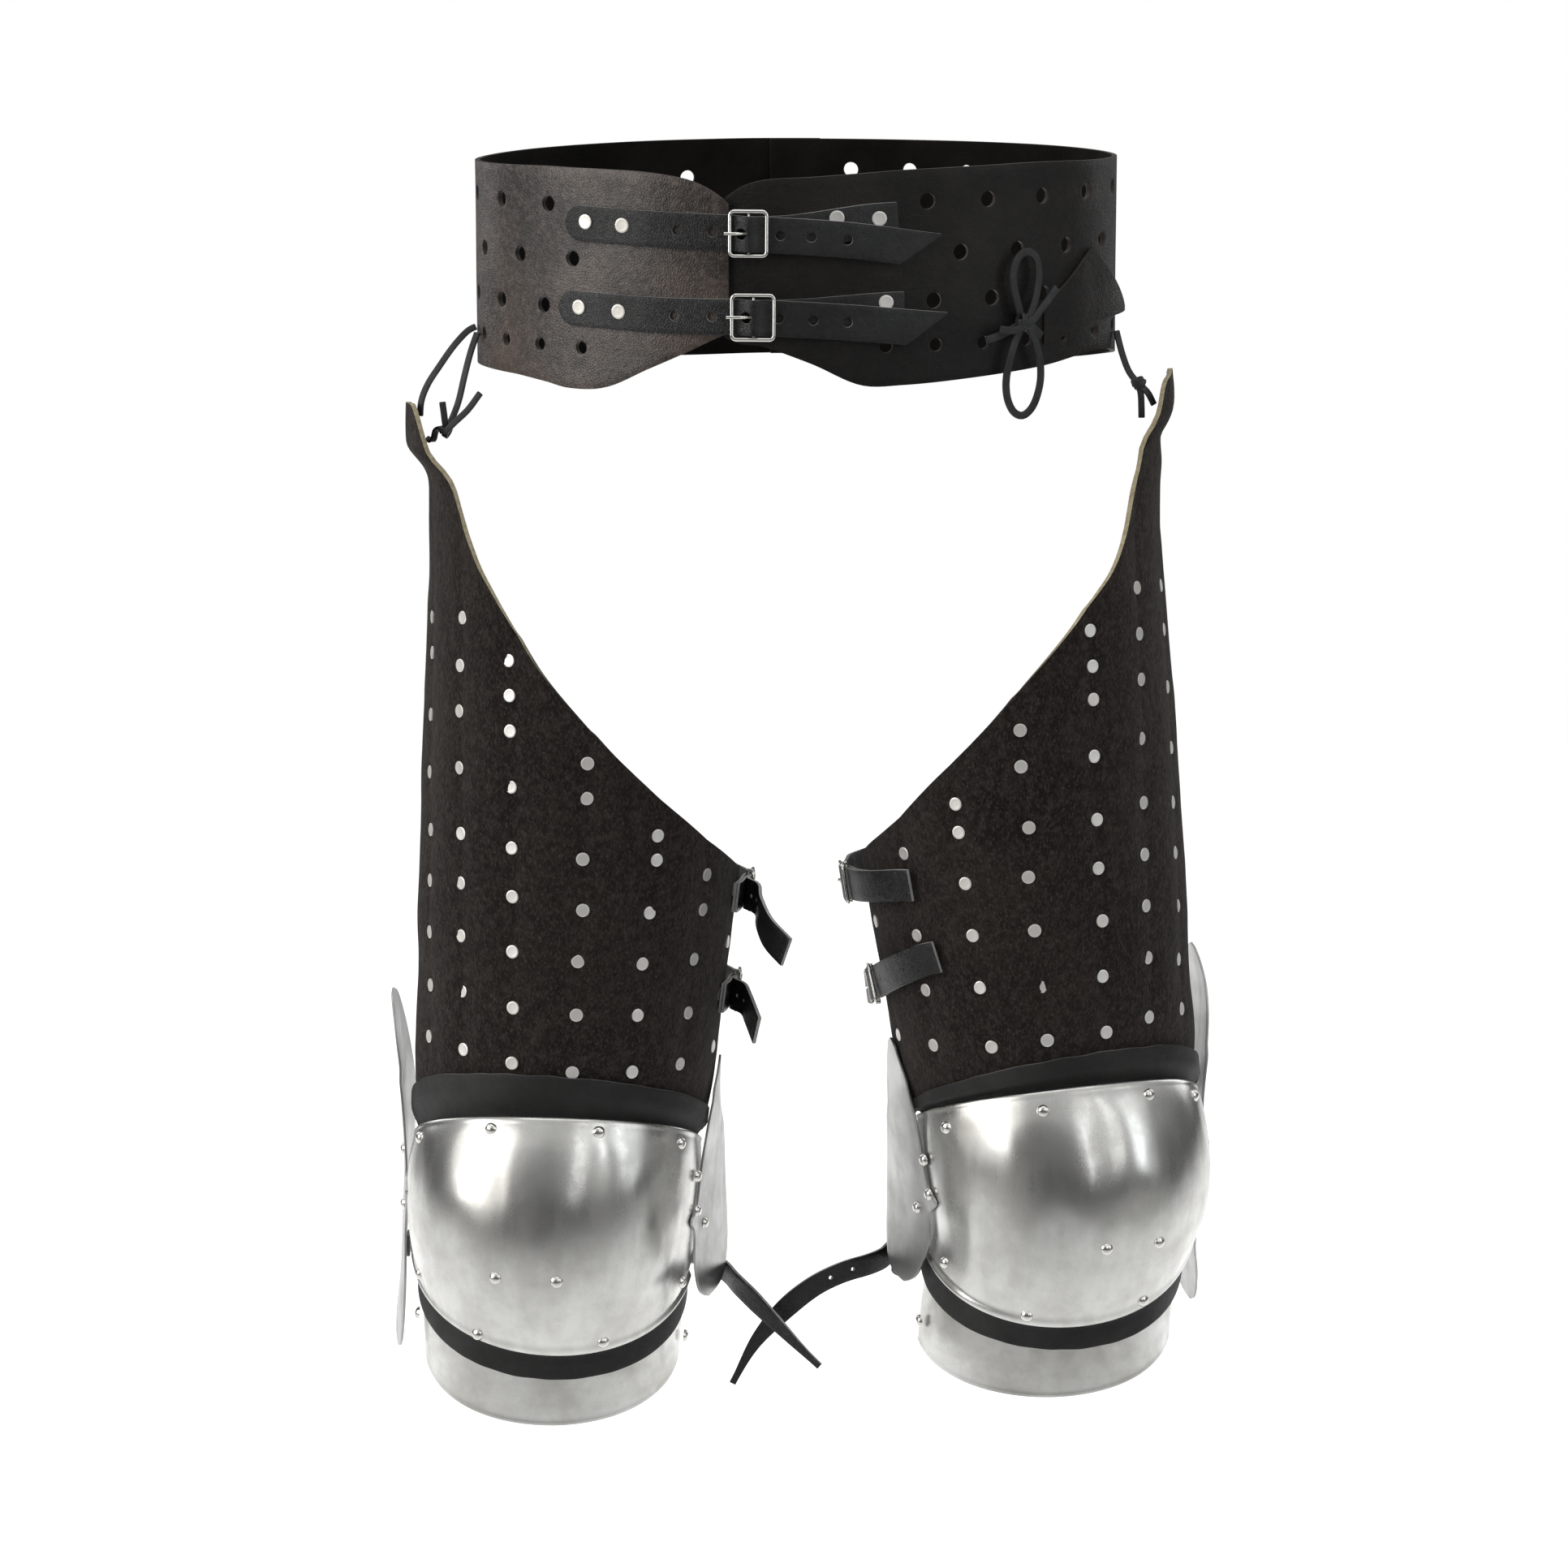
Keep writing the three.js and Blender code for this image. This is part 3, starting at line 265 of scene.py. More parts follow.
# a smooth line through stations of (centre, direction of the width), with the length at each station
def layRail(stations, perSpan=6):
    points = [Vector(centre) for centre, wide in stations]
    wides = [Vector(wide).normalized() for centre, wide in stations]
    first, last = 2 * points[0] - points[1], 2 * points[-1] - points[-2]
    ends = [first, *points, last]
    fine, sides, marks = [], [], []
    for i in range(len(points) - 1):
        a, b, c, d = ends[i:i + 4]
        ta = 0.0
        tb = ta + max(1e-4, (b - a).length) ** 0.5
        tc = tb + max(1e-4, (c - b).length) ** 0.5
        td = tc + max(1e-4, (d - c).length) ** 0.5
        marks.append(len(fine))
        for j in range(perSpan):
            t = mix(tb, tc, j / perSpan)
            ab = a * ((tb - t) / (tb - ta)) + b * ((t - ta) / (tb - ta))
            bc = b * ((tc - t) / (tc - tb)) + c * ((t - tb) / (tc - tb))
            cd = c * ((td - t) / (td - tc)) + d * ((t - tc) / (td - tc))
            abc = ab * ((tc - t) / (tc - ta)) + bc * ((t - ta) / (tc - ta))
            bcd = bc * ((td - t) / (td - tb)) + cd * ((t - tb) / (td - tb))
            fine.append(abc * ((tc - t) / (tc - tb)) + bcd * ((t - tb) / (tc - tb)))
            sides.append(wides[i].lerp(wides[i + 1], j / perSpan))
    marks.append(len(fine))
    fine.append(points[-1])
    sides.append(wides[-1])
    lengths = [0.0]
    for before, after in zip(fine, fine[1:]):
        lengths.append(lengths[-1] + (after - before).length)
    frames = []
    for i, point in enumerate(fine):
        along = (fine[min(i + 1, len(fine) - 1)] - fine[max(i - 1, 0)]).normalized()
        side = sides[i] - along * sides[i].dot(along)
        side.normalize()
        frames.append((point, along, side, along.cross(side)))
    return {"lengths": lengths, "frames": frames, "marks": [lengths[i] for i in marks], "points": fine}


def railPoint(rail, along, across, out):
    lengths = rail["lengths"]
    i = clamp(bisect.bisect_right(lengths, along) - 1, 0, len(lengths) - 2)
    t = (along - lengths[i]) / max(1e-6, lengths[i + 1] - lengths[i])
    (pa, aa, sa, fa), (pb, ab, sb, fb) = rail["frames"][i], rail["frames"][i + 1]
    return pa.lerp(pb, t) + sa.lerp(sb, t) * across + fa.lerp(fb, t) * out


def ribbon(name, rail, width, thickness, taper=lambda t: 1, holes=(), cell=3.0, bevel=0.35, rim=True, across=2.6):
    length = rail["lengths"][-1]
    half = lambda along: width / 2 * taper(along / length)
    return plate(
        name, 0, length, lambda along: -half(along), half, thickness,
        lambda along, side, out: railPoint(rail, along, side, out - thickness / 2),
        holes=holes, cell=cell, cellAcross=across, bevel=bevel, rim=rim)


# ---- materials ----
def startMaterial(name, colour, metallic, roughness):
    material = bpy.data.materials.new(name)
    material.use_nodes = True
    nodes, links = material.node_tree.nodes, material.node_tree.links
    shader = nodes["Principled BSDF"]
    shader.inputs["Base Color"].default_value = (*colour, 1)
    shader.inputs["Metallic"].default_value = metallic
    shader.inputs["Roughness"].default_value = roughness
    material.diffuse_color = (*colour, 1)
    return material, nodes, links, shader


def addNoise(nodes, links, source, scale, detail=3.0, rough=0.55, stretch=(1, 1, 1), turn=(0, 0, 0)):
    mapping = nodes.new("ShaderNodeMapping")
    mapping.inputs["Scale"].default_value = stretch
    mapping.inputs["Rotation"].default_value = turn
    links.new(source, mapping.inputs["Vector"])
    texture = nodes.new("ShaderNodeTexNoise")
    texture.inputs["Scale"].default_value = scale
    texture.inputs["Detail"].default_value = detail
    texture.inputs["Roughness"].default_value = rough
    links.new(mapping.outputs["Vector"], texture.inputs["Vector"])
    return texture.outputs["Fac"]


def addRamp(nodes, links, source, *stops):
    ramp = nodes.new("ShaderNodeValToRGB")
    elements = ramp.color_ramp.elements
    while len(elements) < len(stops):
        elements.new(0.5)
    for element, (position, colour) in zip(elements, stops):
        element.position = position
        element.color = (*colour, 1) if hasattr(colour, "__len__") else (colour, colour, colour, 1)
    links.new(source, ramp.inputs["Fac"])
    return ramp.outputs["Color"]


def addBlend(nodes, links, amount, start, end, kind="MIX"):
    blend = nodes.new("ShaderNodeMix")
    blend.data_type = "RGBA"
    blend.blend_type = kind
    for socket, value in ((blend.inputs["Factor"], amount), (blend.inputs["A"], start), (blend.inputs["B"], end)):
        if hasattr(value, "is_output"):
            links.new(value, socket)
        elif hasattr(value, "__len__"):
            socket.default_value = (*value, 1)
        else:
            socket.default_value = value
    return blend.outputs["Result"]


def addRange(nodes, links, source, fromLow, fromHigh, toLow, toHigh):
    spread = nodes.new("ShaderNodeMapRange")
    links.new(source, spread.inputs["Value"])
    for key, value in zip(("From Min", "From Max", "To Min", "To Max"), (fromLow, fromHigh, toLow, toHigh)):
        spread.inputs[key].default_value = value
    return spread.outputs["Result"]


def addBump(nodes, links, shader, heights, distance, strength):
    previous = None
    for height, share in heights:
        bump = nodes.new("ShaderNodeBump")
        bump.inputs["Strength"].default_value = strength
        bump.inputs["Distance"].default_value = distance * share
        links.new(height, bump.inputs["Height"])
        if previous:
            links.new(previous, bump.inputs["Normal"])
        previous = bump.outputs["Normal"]
    links.new(previous, shader.inputs["Normal"])


def objectPlace(nodes):
    return nodes.new("ShaderNodeTexCoord").outputs["Object"]


# smooth tanned leather: pebbled grain, pale patches and specks that are rubbed wear and, on the belt's lit copy,
# painted sheen, and fine scratches
def makeLeather(name, looks):
    material, nodes, links, shader = startMaterial(name, looks["colour"], 0, looks["roughness"])
    place = objectPlace(nodes)
    patches = addNoise(nodes, links, place, 22, 4, 0.6)
    fine = addNoise(nodes, links, place, 260, 3, 0.6)
    broad = addNoise(nodes, links, place, 7, 2, 0.5)
    rubbedAndSheen = addRamp(nodes, links, patches, (0.42, 0.0), (0.68, 1.0))
    colour = addBlend(nodes, links, rubbedAndSheen, looks["colour"], looks["rubbedAndSheen"])
    tone = looks.get("tone", 0.2)
    shade = addRamp(nodes, links, broad, (0.35, 1 - tone), (0.65, 1.0))
    colour = addBlend(nodes, links, 1.0, colour, shade, "MULTIPLY")
    speck = addRamp(nodes, links, fine, (0.45, 0.0), (0.7, looks.get("speck", 0.25)))
    colour = addBlend(nodes, links, speck, colour, looks["rubbedAndSheen"])
    scratch = addNoise(nodes, links, place, 60, 2, 0.5, (0.25, 1, 9), (0.2, 0.5, 0.1))
    scratches = addRamp(nodes, links, scratch, (0.685, 0.0), (0.7, 1.0), (0.715, 0.0))
    colour = addBlend(nodes, links, addBlend(nodes, links, looks.get("scuff", 0.3), (0, 0, 0), scratches), colour,
                      looks["scratch"])
    links.new(colour, shader.inputs["Base Color"])
    links.new(addRange(nodes, links, patches, 0.3, 0.75, looks["roughness"] + 0.08, looks["roughness"] - 0.1),
              shader.inputs["Roughness"])
    cells = nodes.new("ShaderNodeTexVoronoi")
    cells.feature = "DISTANCE_TO_EDGE"
    cells.inputs["Scale"].default_value = looks.get("grain", 700)
    links.new(place, cells.inputs["Vector"])
    pebbles = addRamp(nodes, links, cells.outputs["Distance"], (0.0, 0.0), (0.25, 1.0))
    addBump(nodes, links, shader, [(pebbles, 0.45), (fine, 1.3), (patches, 3.6)], 0.00024, 0.9)
    shader.inputs["Specular IOR Level"].default_value = looks.get("shine", 0.5)
    return material


# suede: a short brushed nap in tufts, lighter where it is rubbed, with painted shade darkening its hollows
def makeSuede(name, looks):
    material, nodes, links, shader = startMaterial(name, looks["colour"], 0, 0.95)
    place = objectPlace(nodes)
    broad = addNoise(nodes, links, place, 13, 5, 0.62)
    tufts = addNoise(nodes, links, place, 190, 5, 0.72, (1, 1, 0.8), (0.3, 0.5, 0.4))
    nap = addNoise(nodes, links, place, 700, 5, 0.75, (1, 1, 0.6), (0.5, 0.8, 0.2))
    colour = addBlend(nodes, links, addRamp(nodes, links, broad, (0.38, 0.0), (0.62, 1.0)),
                      looks["deepAndHollowShade"], looks["colour"])
    colour = addBlend(nodes, links, addRamp(nodes, links, tufts, (0.47, 0.0), (0.66, 0.75)), colour, looks["raised"])
    # painted shade: the hollows between the tufts are darkened towards the deep colour
    colour = addBlend(nodes, links, addRamp(nodes, links, tufts, (0.34, 0.7), (0.46, 0.0)), colour, looks["deepAndHollowShade"])
    colour = addBlend(nodes, links, addRamp(nodes, links, nap, (0.5, 0.0), (0.68, 0.8)), colour, looks["fibre"])
    links.new(colour, shader.inputs["Base Color"])
    addBump(nodes, links, shader, [(nap, 1.2), (tufts, 3.0)], 0.0007, 1.0)
    shader.inputs["Sheen Weight"].default_value = looks["sheen"]
    shader.inputs["Sheen Roughness"].default_value = 0.5
    shader.inputs["Sheen Tint"].default_value = (*looks["sheenTint"], 1)
    shader.inputs["Specular IOR Level"].default_value = 0.12
    return material


# the cut edge of the suede: tan by the hip, dyed dark below
def makeRawEdge(name, looks):
    material, nodes, links, shader = startMaterial(name, looks["tan"], 0, 0.85)
    place = objectPlace(nodes)
    split = nodes.new("ShaderNodeSeparateXYZ")
    links.new(place, split.inputs["Vector"])
    fibres = addNoise(nodes, links, place, 420, 4, 0.7)
    patch = addNoise(nodes, links, place, 45, 3, 0.6)
    height = nodes.new("ShaderNodeMath")
    height.operation = "MULTIPLY_ADD"
    height.inputs[1].default_value = 0.035
    links.new(patch, height.inputs[0])
    links.new(split.outputs["Z"], height.inputs[2])
    amount = addRange(nodes, links, height.outputs["Value"], looks["darkBelow"], looks["tanAbove"], 0.0, 1.0)
    tan = addBlend(nodes, links, addRamp(nodes, links, fibres, (0.35, 0.0), (0.7, 1.0)), looks["tan"], looks["pale"])
    links.new(addBlend(nodes, links, amount, looks["dark"], tan), shader.inputs["Base Color"])
    addBump(nodes, links, shader, [(fibres, 1.0)], 0.0004, 0.9)
    return material


# hammered and polished sheet steel: soft dents, brushed streaks and smudges
def makeSteel(name, looks):
    material, nodes, links, shader = startMaterial(name, looks["colour"], 1.0, looks["roughness"])
    place = objectPlace(nodes)
    dents = addNoise(nodes, links, place, looks["dentScale"], 2, 0.4, looks.get("dentStretch", (1, 1, 1)))
    smudge = addNoise(nodes, links, place, 34, 5, 0.62)
    streaks = addNoise(nodes, links, place, 95, 3, 0.55, looks.get("streak", (1, 1, 0.10)))
    hair = addNoise(nodes, links, place, 900, 3, 0.7, (0.15, 0.15, 1))
    colour = addBlend(nodes, links, addRamp(nodes, links, smudge, (0.4, 0.0), (0.7, looks["smudge"])),
                      looks["colour"], looks["stain"])
    colour = addBlend(nodes, links, addRamp(nodes, links, streaks, (0.42, 0.0), (0.74, 0.25)), colour, looks["stain"])
    links.new(colour, shader.inputs["Base Color"])
    mixed = nodes.new("ShaderNodeMath")
    mixed.operation = "ADD"
    links.new(addRange(nodes, links, smudge, 0.3, 0.72, 0.0, looks["spread"]), mixed.inputs[0])
    links.new(addRange(nodes, links, streaks, 0.3, 0.7, looks["roughness"] - 0.03, looks["roughness"] + 0.03),
              mixed.inputs[1])
    links.new(mixed.outputs["Value"], shader.inputs["Roughness"])
    addBump(nodes, links, shader, [(hair, 0.008), (dents, looks["dent"])], 0.0005, 0.7)
    return material


def makeLace(name, colour):
    material, nodes, links, shader = startMaterial(name, colour, 0, 0.55)
    place = objectPlace(nodes)
    fibres = addNoise(nodes, links, place, 480, 3, 0.6)
    worn = addNoise(nodes, links, place, 70, 3, 0.6)
    pale = tuple(3.2 * part for part in colour)
    links.new(addBlend(nodes, links, addRamp(nodes, links, worn, (0.5, 0.0), (0.75, 0.8)), colour, pale),
              shader.inputs["Base Color"])
    addBump(nodes, links, shader, [(fibres, 1.0)], 0.0002, 0.8)
    return material


# the belt is one leather in two painted copies: the lit copy's warmer, lighter colour and pale mottling are painted
# sheen
beltLitCopy = makeLeather("beltLeatherLitCopy", {
    "colour": (0.026, 0.0170, 0.0130), "rubbedAndSheen": (0.115, 0.083, 0.068), "scratch": (0.18, 0.145, 0.13),
    "roughness": 0.36, "scuff": 0.5, "shine": 0.6, "grain": 620, "speck": 0.55, "tone": 0.6})
# the shaded copy: the same leather painted near black as painted shade
beltShadedCopy = makeLeather("beltLeatherShadedCopy", {
    "colour": (0.0055, 0.0045, 0.0040), "rubbedAndSheen": (0.0145, 0.0122, 0.0108), "scratch": (0.045, 0.038, 0.035),
    "roughness": 0.47, "scuff": 0.3, "shine": 0.26, "grain": 620, "tone": 0.45})
# the belt's inner face, painted near black as painted shade so the holes show dark
beltInsideShade = makeLeather("beltInnerFacePaintedShade", {
    "colour": (0.0045, 0.0038, 0.0034), "rubbedAndSheen": (0.009, 0.0078, 0.007), "scratch": (0.015, 0.013, 0.012),
    "roughness": 0.85, "scuff": 0.1, "shine": 0.1, "grain": 500})
beltEdge = makeLeather("beltCutEdge", {
    "colour": (0.02, 0.014, 0.011), "rubbedAndSheen": (0.06, 0.045, 0.036), "scratch": (0.08, 0.06, 0.05),
    "roughness": 0.7, "grain": 900})
strapBlack = makeLeather("strapLeatherBlack", {
    "colour": (0.0048, 0.0048, 0.0053), "rubbedAndSheen": (0.017, 0.0175, 0.0195), "scratch": (0.08, 0.08, 0.08),
    "roughness": 0.34, "scuff": 0.25, "shine": 0.42, "grain": 850, "tone": 0.4})
# the straps' cut edge: a pale edge, painted paler still as a painted highlight along the edges
strapEdgeAndHighlight = makeLeather("strapCutEdgeAndHighlight", {
    "colour": (0.22, 0.22, 0.215), "rubbedAndSheen": (0.45, 0.45, 0.43), "scratch": (0.5, 0.5, 0.48),
    "roughness": 0.8, "grain": 1200})
stripMatt = makeLeather("stripLeatherMatt", {
    "colour": (0.0100, 0.0098, 0.0095), "rubbedAndSheen": (0.021, 0.0205, 0.020), "scratch": (0.05, 0.05, 0.05),
    "roughness": 0.58, "scuff": 0.3, "shine": 0.3, "grain": 900, "tone": 0.4})
stripEdge = makeLeather("stripCutEdge", {
    "colour": (0.06, 0.06, 0.058), "rubbedAndSheen": (0.14, 0.14, 0.135), "scratch": (0.2, 0.2, 0.2),
    "roughness": 0.85, "grain": 1200})
suedeBlack = makeSuede("suedeNapBlack", {
    "colour": (0.0165, 0.0128, 0.0108), "deepAndHollowShade": (0.0075, 0.0056, 0.0047), "raised": (0.038, 0.031, 0.027),
    "fibre": (0.065, 0.056, 0.050), "sheen": 0.10, "sheenTint": (0.8, 0.76, 0.73)})
suedeEdge = makeRawEdge("suedeRawEdge", {
    "tan": (0.27, 0.225, 0.135), "pale": (0.50, 0.44, 0.30), "dark": (0.022, 0.017, 0.013),
    "darkBelow": -0.225, "tanAbove": -0.185})
copSteel = makeSteel("copSteelPolished", {
    "colour": (0.70, 0.70, 0.68), "stain": (0.44, 0.43, 0.395), "roughness": 0.22, "spread": 0.10, "smudge": 0.6,
    "dentScale": 22, "dent": 5.0, "dentStretch": (1, 1, 0.35)})
wingSteel = makeSteel("wingSteelSatin", {
    "colour": (0.52, 0.52, 0.515), "stain": (0.34, 0.34, 0.33), "roughness": 0.34, "spread": 0.12, "smudge": 0.7,
    "dentScale": 24, "dent": 1.2})
lameSteel = makeSteel("lameSteelSatin", {
    "colour": (0.64, 0.64, 0.62), "stain": (0.40, 0.39, 0.36), "roughness": 0.24, "spread": 0.12, "smudge": 0.75,
    "dentScale": 24, "dent": 2.0, "streak": (0.2, 0.2, 1)})
splintSteel = makeSteel("splintSteelPlain", {
    "colour": (0.52, 0.52, 0.51), "stain": (0.34, 0.33, 0.31), "roughness": 0.45, "spread": 0.12, "smudge": 0.5,
    "dentScale": 24, "dent": 0.4})
nickelBright = makeSteel("nickelPlate", {
    "colour": (0.80, 0.785, 0.75), "stain": (0.6, 0.58, 0.53), "roughness": 0.16, "spread": 0.08, "smudge": 0.3,
    "dentScale": 60, "dent": 0.05})
rivetSteel = makeSteel("rivetHeadSatin", {
    "colour": (0.84, 0.83, 0.80), "stain": (0.56, 0.53, 0.47), "roughness": 0.46, "spread": 0.1, "smudge": 0.5,
    "dentScale": 90, "dent": 0.15})
laceBlack = makeLace("laceBlack", (0.0115, 0.0118, 0.0125))
print("materials are ready")


# ---- the belt's ring: arc is the distance round it from the front middle, + to the wearer's left ----
ring = {"halfWidth": 185, "halfDepth": 127, "dip": math.tan(math.radians(3)), "leather": 3, "overlap": 15}
ringArcs, ringTurns = [0.0], [0.0]
while ringTurns[-1] < 1.2 * math.pi:
    middle = ringTurns[-1] + math.radians(0.25)
    pace = math.hypot(ring["halfWidth"] * math.cos(middle), ring["halfDepth"] * math.sin(middle))
    ringArcs.append(ringArcs[-1] + pace * math.radians(0.5))
    ringTurns.append(ringTurns[-1] + math.radians(0.5))
ringGirth = 2 * ringArcs[360]


def ringPoint(arc, height, out):
    i = clamp(bisect.bisect_right(ringArcs, abs(arc)) - 1, 0, len(ringArcs) - 2)
    share = (abs(arc) - ringArcs[i]) / (ringArcs[i + 1] - ringArcs[i])
    turn = math.copysign(mix(ringTurns[i], ringTurns[i + 1], share), arc)
    normal = Vector((math.sin(turn) / ring["halfWidth"], -math.cos(turn) / ring["halfDepth"], 0)).normalized()
    point = Vector((ring["halfWidth"] * math.sin(turn), -ring["halfDepth"] * math.cos(turn), height)) + normal * out
    point.z += point.y * ring["dip"]
    return point


# ---- laces: flat thongs, each one piece from its hole through its knot to its free end ----
laceSize = {"bow": 4.4, "hip": 3.8, "thickness": 1.8, "cell": 1.8, "edge": 0.5}
knotLace = {"width": 3.9, "thickness": 1.5, "cell": 1.6, "edge": 0.45, "steps": 10, "drift": 0.25, "flat": 0.72}


def thong(name, rail, width, size):
    return ribbon(name, rail, width, size["thickness"], cell=size["cell"], bevel=size["edge"], rim=False, across=1.5)


def makeLaceCord(name, points, width, wideFrom, nodes):
    stations = []
    for i, point in enumerate(points):
        along = (points[min(i + 1, len(points) - 1)] - points[max(i - 1, 0)]).normalized()
        stations.append((point, along.cross(wideFrom(point)).normalized()))
    for i in range(1, len(stations)):  # the width keeps to one side all along
        if stations[i][1].dot(stations[i - 1][1]) < 0:
            stations[i] = (stations[i][0], -stations[i][1])
    rail = layRail(stations, 5)
    obj = thong(name, rail, width, laceSize)
    dress(obj, "lace", (laceBlack,), *nodes)
    path = [tuple(point * mm) for point in rail["points"]]
    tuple(path[0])
    return obj


def ringAway(point):
    return Vector((point.x / ring["halfWidth"] ** 2, point.y / ring["halfDepth"] ** 2, 0)).normalized()


# a knot: flat turns of lace wound round its middle
def makeKnot(name, centre, away, radius, turns):
    away = Vector(away).normalized()
    side = away.cross(Vector((0, 0, 1))).normalized()
    up = side.cross(away)
    wound = []
    for index, (tilt, push) in enumerate(turns):
        axis = (side * math.cos(tilt) + up * math.sin(tilt)).normalized()
        cross = axis.cross(away)
        stations = []
        for step in range(knotLace["steps"] + 1):
            angle = 2 * math.pi * step / knotLace["steps"]
            spot = Vector(centre) + axis * push + cross * radius * math.cos(angle)
            spot += away * knotLace["flat"] * radius * math.sin(angle)
            stations.append((spot + axis * knotLace["drift"] * (2 * step / knotLace["steps"] - 1), axis))
        wound.append(thong(f"{name}_{index}", layRail(stations, 4), knotLace["width"], knotLace))
    knot = joinPieces(name, wound)
    return dress(knot, "lace", (laceBlack,))


bow = {
    "knot": (130, -24, 10.4),
    "upper": [  # from the left hole up round the upper loop to the short end
        (108.5, -33.5, 5.4), (115, -31.5, 6.8), (122, -28, 8.6), (128.5, -24, 9.2), (126.3, -15, 9.6), (123.2, -3, 9.6),
        (123.6, 7, 9.4), (127.5, 13.5, 9), (132.5, 15.5, 9), (137.2, 12.5, 9.4), (139.4, 4, 9.9), (137.6, -8, 10.6),
        (132.4, -20.5, 11.6), (127, -26.5, 12.4), (121, -28, 12), (114, -27, 10.8)],
    "lower": [  # from the right hole down round the lower loop to the long end
        (143, -33, 8.0), (140, -30.5, 8.6), (136, -27.5, 8.8), (131.5, -25.5, 8.4), (126.5, -31, 9.2), (121.6, -43, 9.8),
        (119.6, -57, 8.4), (121.4, -68, 7.4), (126, -75.5, 7), (131.5, -77.5, 7), (137.4, -73.5, 7.4), (141.5, -62, 8.6),
        (141, -50, 10.2), (136.6, -36, 11.6), (132.2, -26, 12.6), (137, -20, 12.2), (144, -13.5, 11), (152, -6, 9.8)],
}
bowKnot = makeKnot("bowKnot", ringPoint(*bow["knot"]), ringAway(ringPoint(*bow["knot"])), 4.4,
                   [(0.3, -1.9), (0.2, 2.1), (1.5, 0.2)])
makeLaceCord("bowLaceUpper", [ringPoint(*point) for point in bow["upper"]], laceSize["bow"], ringAway,
             ["bow_lace"])
makeLaceCord("bowLaceLower", [ringPoint(*point) for point in bow["lower"]], laceSize["bow"], ringAway,
             ["bow_lace"])

hipLaces = {
    "rightFront": {
        "points": [(-187, -16, -38), (-191.5, -16, -40.3), (-199.5, -18, -48.6), (-208.1, -20, -60.5),
                   (-215.6, -21, -72), (-219.2, -21.5, -81.5), (-220, -21.5, -90)]},
    "rightBack": {
        "knot": (-204, -36, -97),
        "points": [(-185.8, -24, -41), (-189.4, -30, -52), (-192.9, -32, -65.3), (-197, -34, -82), (-202.6, -36, -95),
                   (-205, -38, -98.5), (-199, -41.5, -92.5), (-190.5, -43, -84.5), (-183, -44, -74.5)],
        "stub": [(-216.5, -22, -103), (-212.5, -25, -104), (-210.4, -29, -98), (-207.2, -33, -95.5), (-204.2, -37, -96),
                 (-204.4, -40, -89), (-205.4, -41, -80)]},
    "left": {
        "knot": (200, -31, -70),
        "points": [(187.4, -22, -40), (191, -26, -54), (195, -28, -64), (200, -31, -70), (205.2, -33.1, -75),
                   (209.2, -32.7, -82.4)],
        "stub": [(200, -31, -70), (201.4, -32.5, -76), (201.8, -33, -83), (202, -33, -90)]},
}


def hipAway(point):
    return Vector((point.x * 0.4, -180, 0)).normalized()


def makeStub(name, points):
    stations = [(Vector(point), Vector((1, 0, 0.2))) for point in points]
    stub = thong(name, layRail(stations, 5), laceSize["hip"], laceSize)
    return dress(stub, "lace", (laceBlack,))


def hipCord(name, lace, node, pieces=()):
    makeLaceCord(name, [Vector(point) for point in lace["points"]], laceSize["hip"], hipAway, [node])


def hipPieces(side, lace, away):
    return [makeKnot(f"{side}HipKnot", lace["knot"], away, 3.4, [(0.5, -1.2), (1.2, 1.0)]),
            makeStub(f"{side}HipLaceStub", lace["stub"])]


hipCord("rightHipLaceFront", hipLaces["rightFront"], "right_hip_lace_front")
lace = hipLaces["rightBack"]
hipCord("rightHipLaceBack", lace, "right_hip_lace_back", hipPieces("right", lace, (-0.3, -1, 0)))
lace = hipLaces["left"]
hipCord("leftHipLace", lace, "left_hip_lace", hipPieces("left", lace, (0.3, -1, 0)))
print("laces are tied")


# ---- belt halves ----
# the right half takes the lit copy of the leather and the left half the shaded copy: painted light and painted shade
beltHalves = {
    "right": {
        "side": -1, "behind": 0, "start": 37, "end": ringGirth / 2 + ring["overlap"], "material": beltLitCopy,
        "edges": [(37, 45, -27), (44, 50.5, -30), (52, 55, -34), (62, 58.5, -39), (84, 61.5, -49), (110, 62, -60.5),
                  (134, 62, -62.5), (152, 62, -60), (180, 61, -58), (260, 58.5, -60), (330, 59, -68), (420, 60, -71),
                  (520, 60, -71)],
        "lift": [(37, 3.3), (80, 3.3), (115, 0), (430, 0), (470, 3.3), (520, 3.3)],
        "holes": [(41, 148, 40, 4.5), (11, 131, 40, 4.5), (-16.5, 152, 37, 4.5), (-39, 125.6, 29.5, 3.75)]},
    "left": {
        "side": 1, "behind": 21, "start": -58, "end": ringGirth / 2 + ring["overlap"], "material": beltShadedCopy,
        "edges": [(-58, 35, -20), (-45, 44, -27), (-32, 53.5, -33), (-19, 57.8, -34.5), (9, 59.7, -44.5),
                  (36, 61.5, -56.5), (60, 63, -57), (98, 64, -54.8), (145, 64.5, -51.3), (200, 62.5, -46.5),
                  (260, 61, -56), (330, 60.5, -67), (420, 60, -71), (520, 60, -71)],
        "lift": [(-58, 0), (520, 0)],
        "holes": [(45.5, 74, 36.5, 4.5), (16.5, 58, 36, 4.5), (-10, 78, 35.5, 4.5), (-35, 50.5, 28.8, 3.75)]},
}
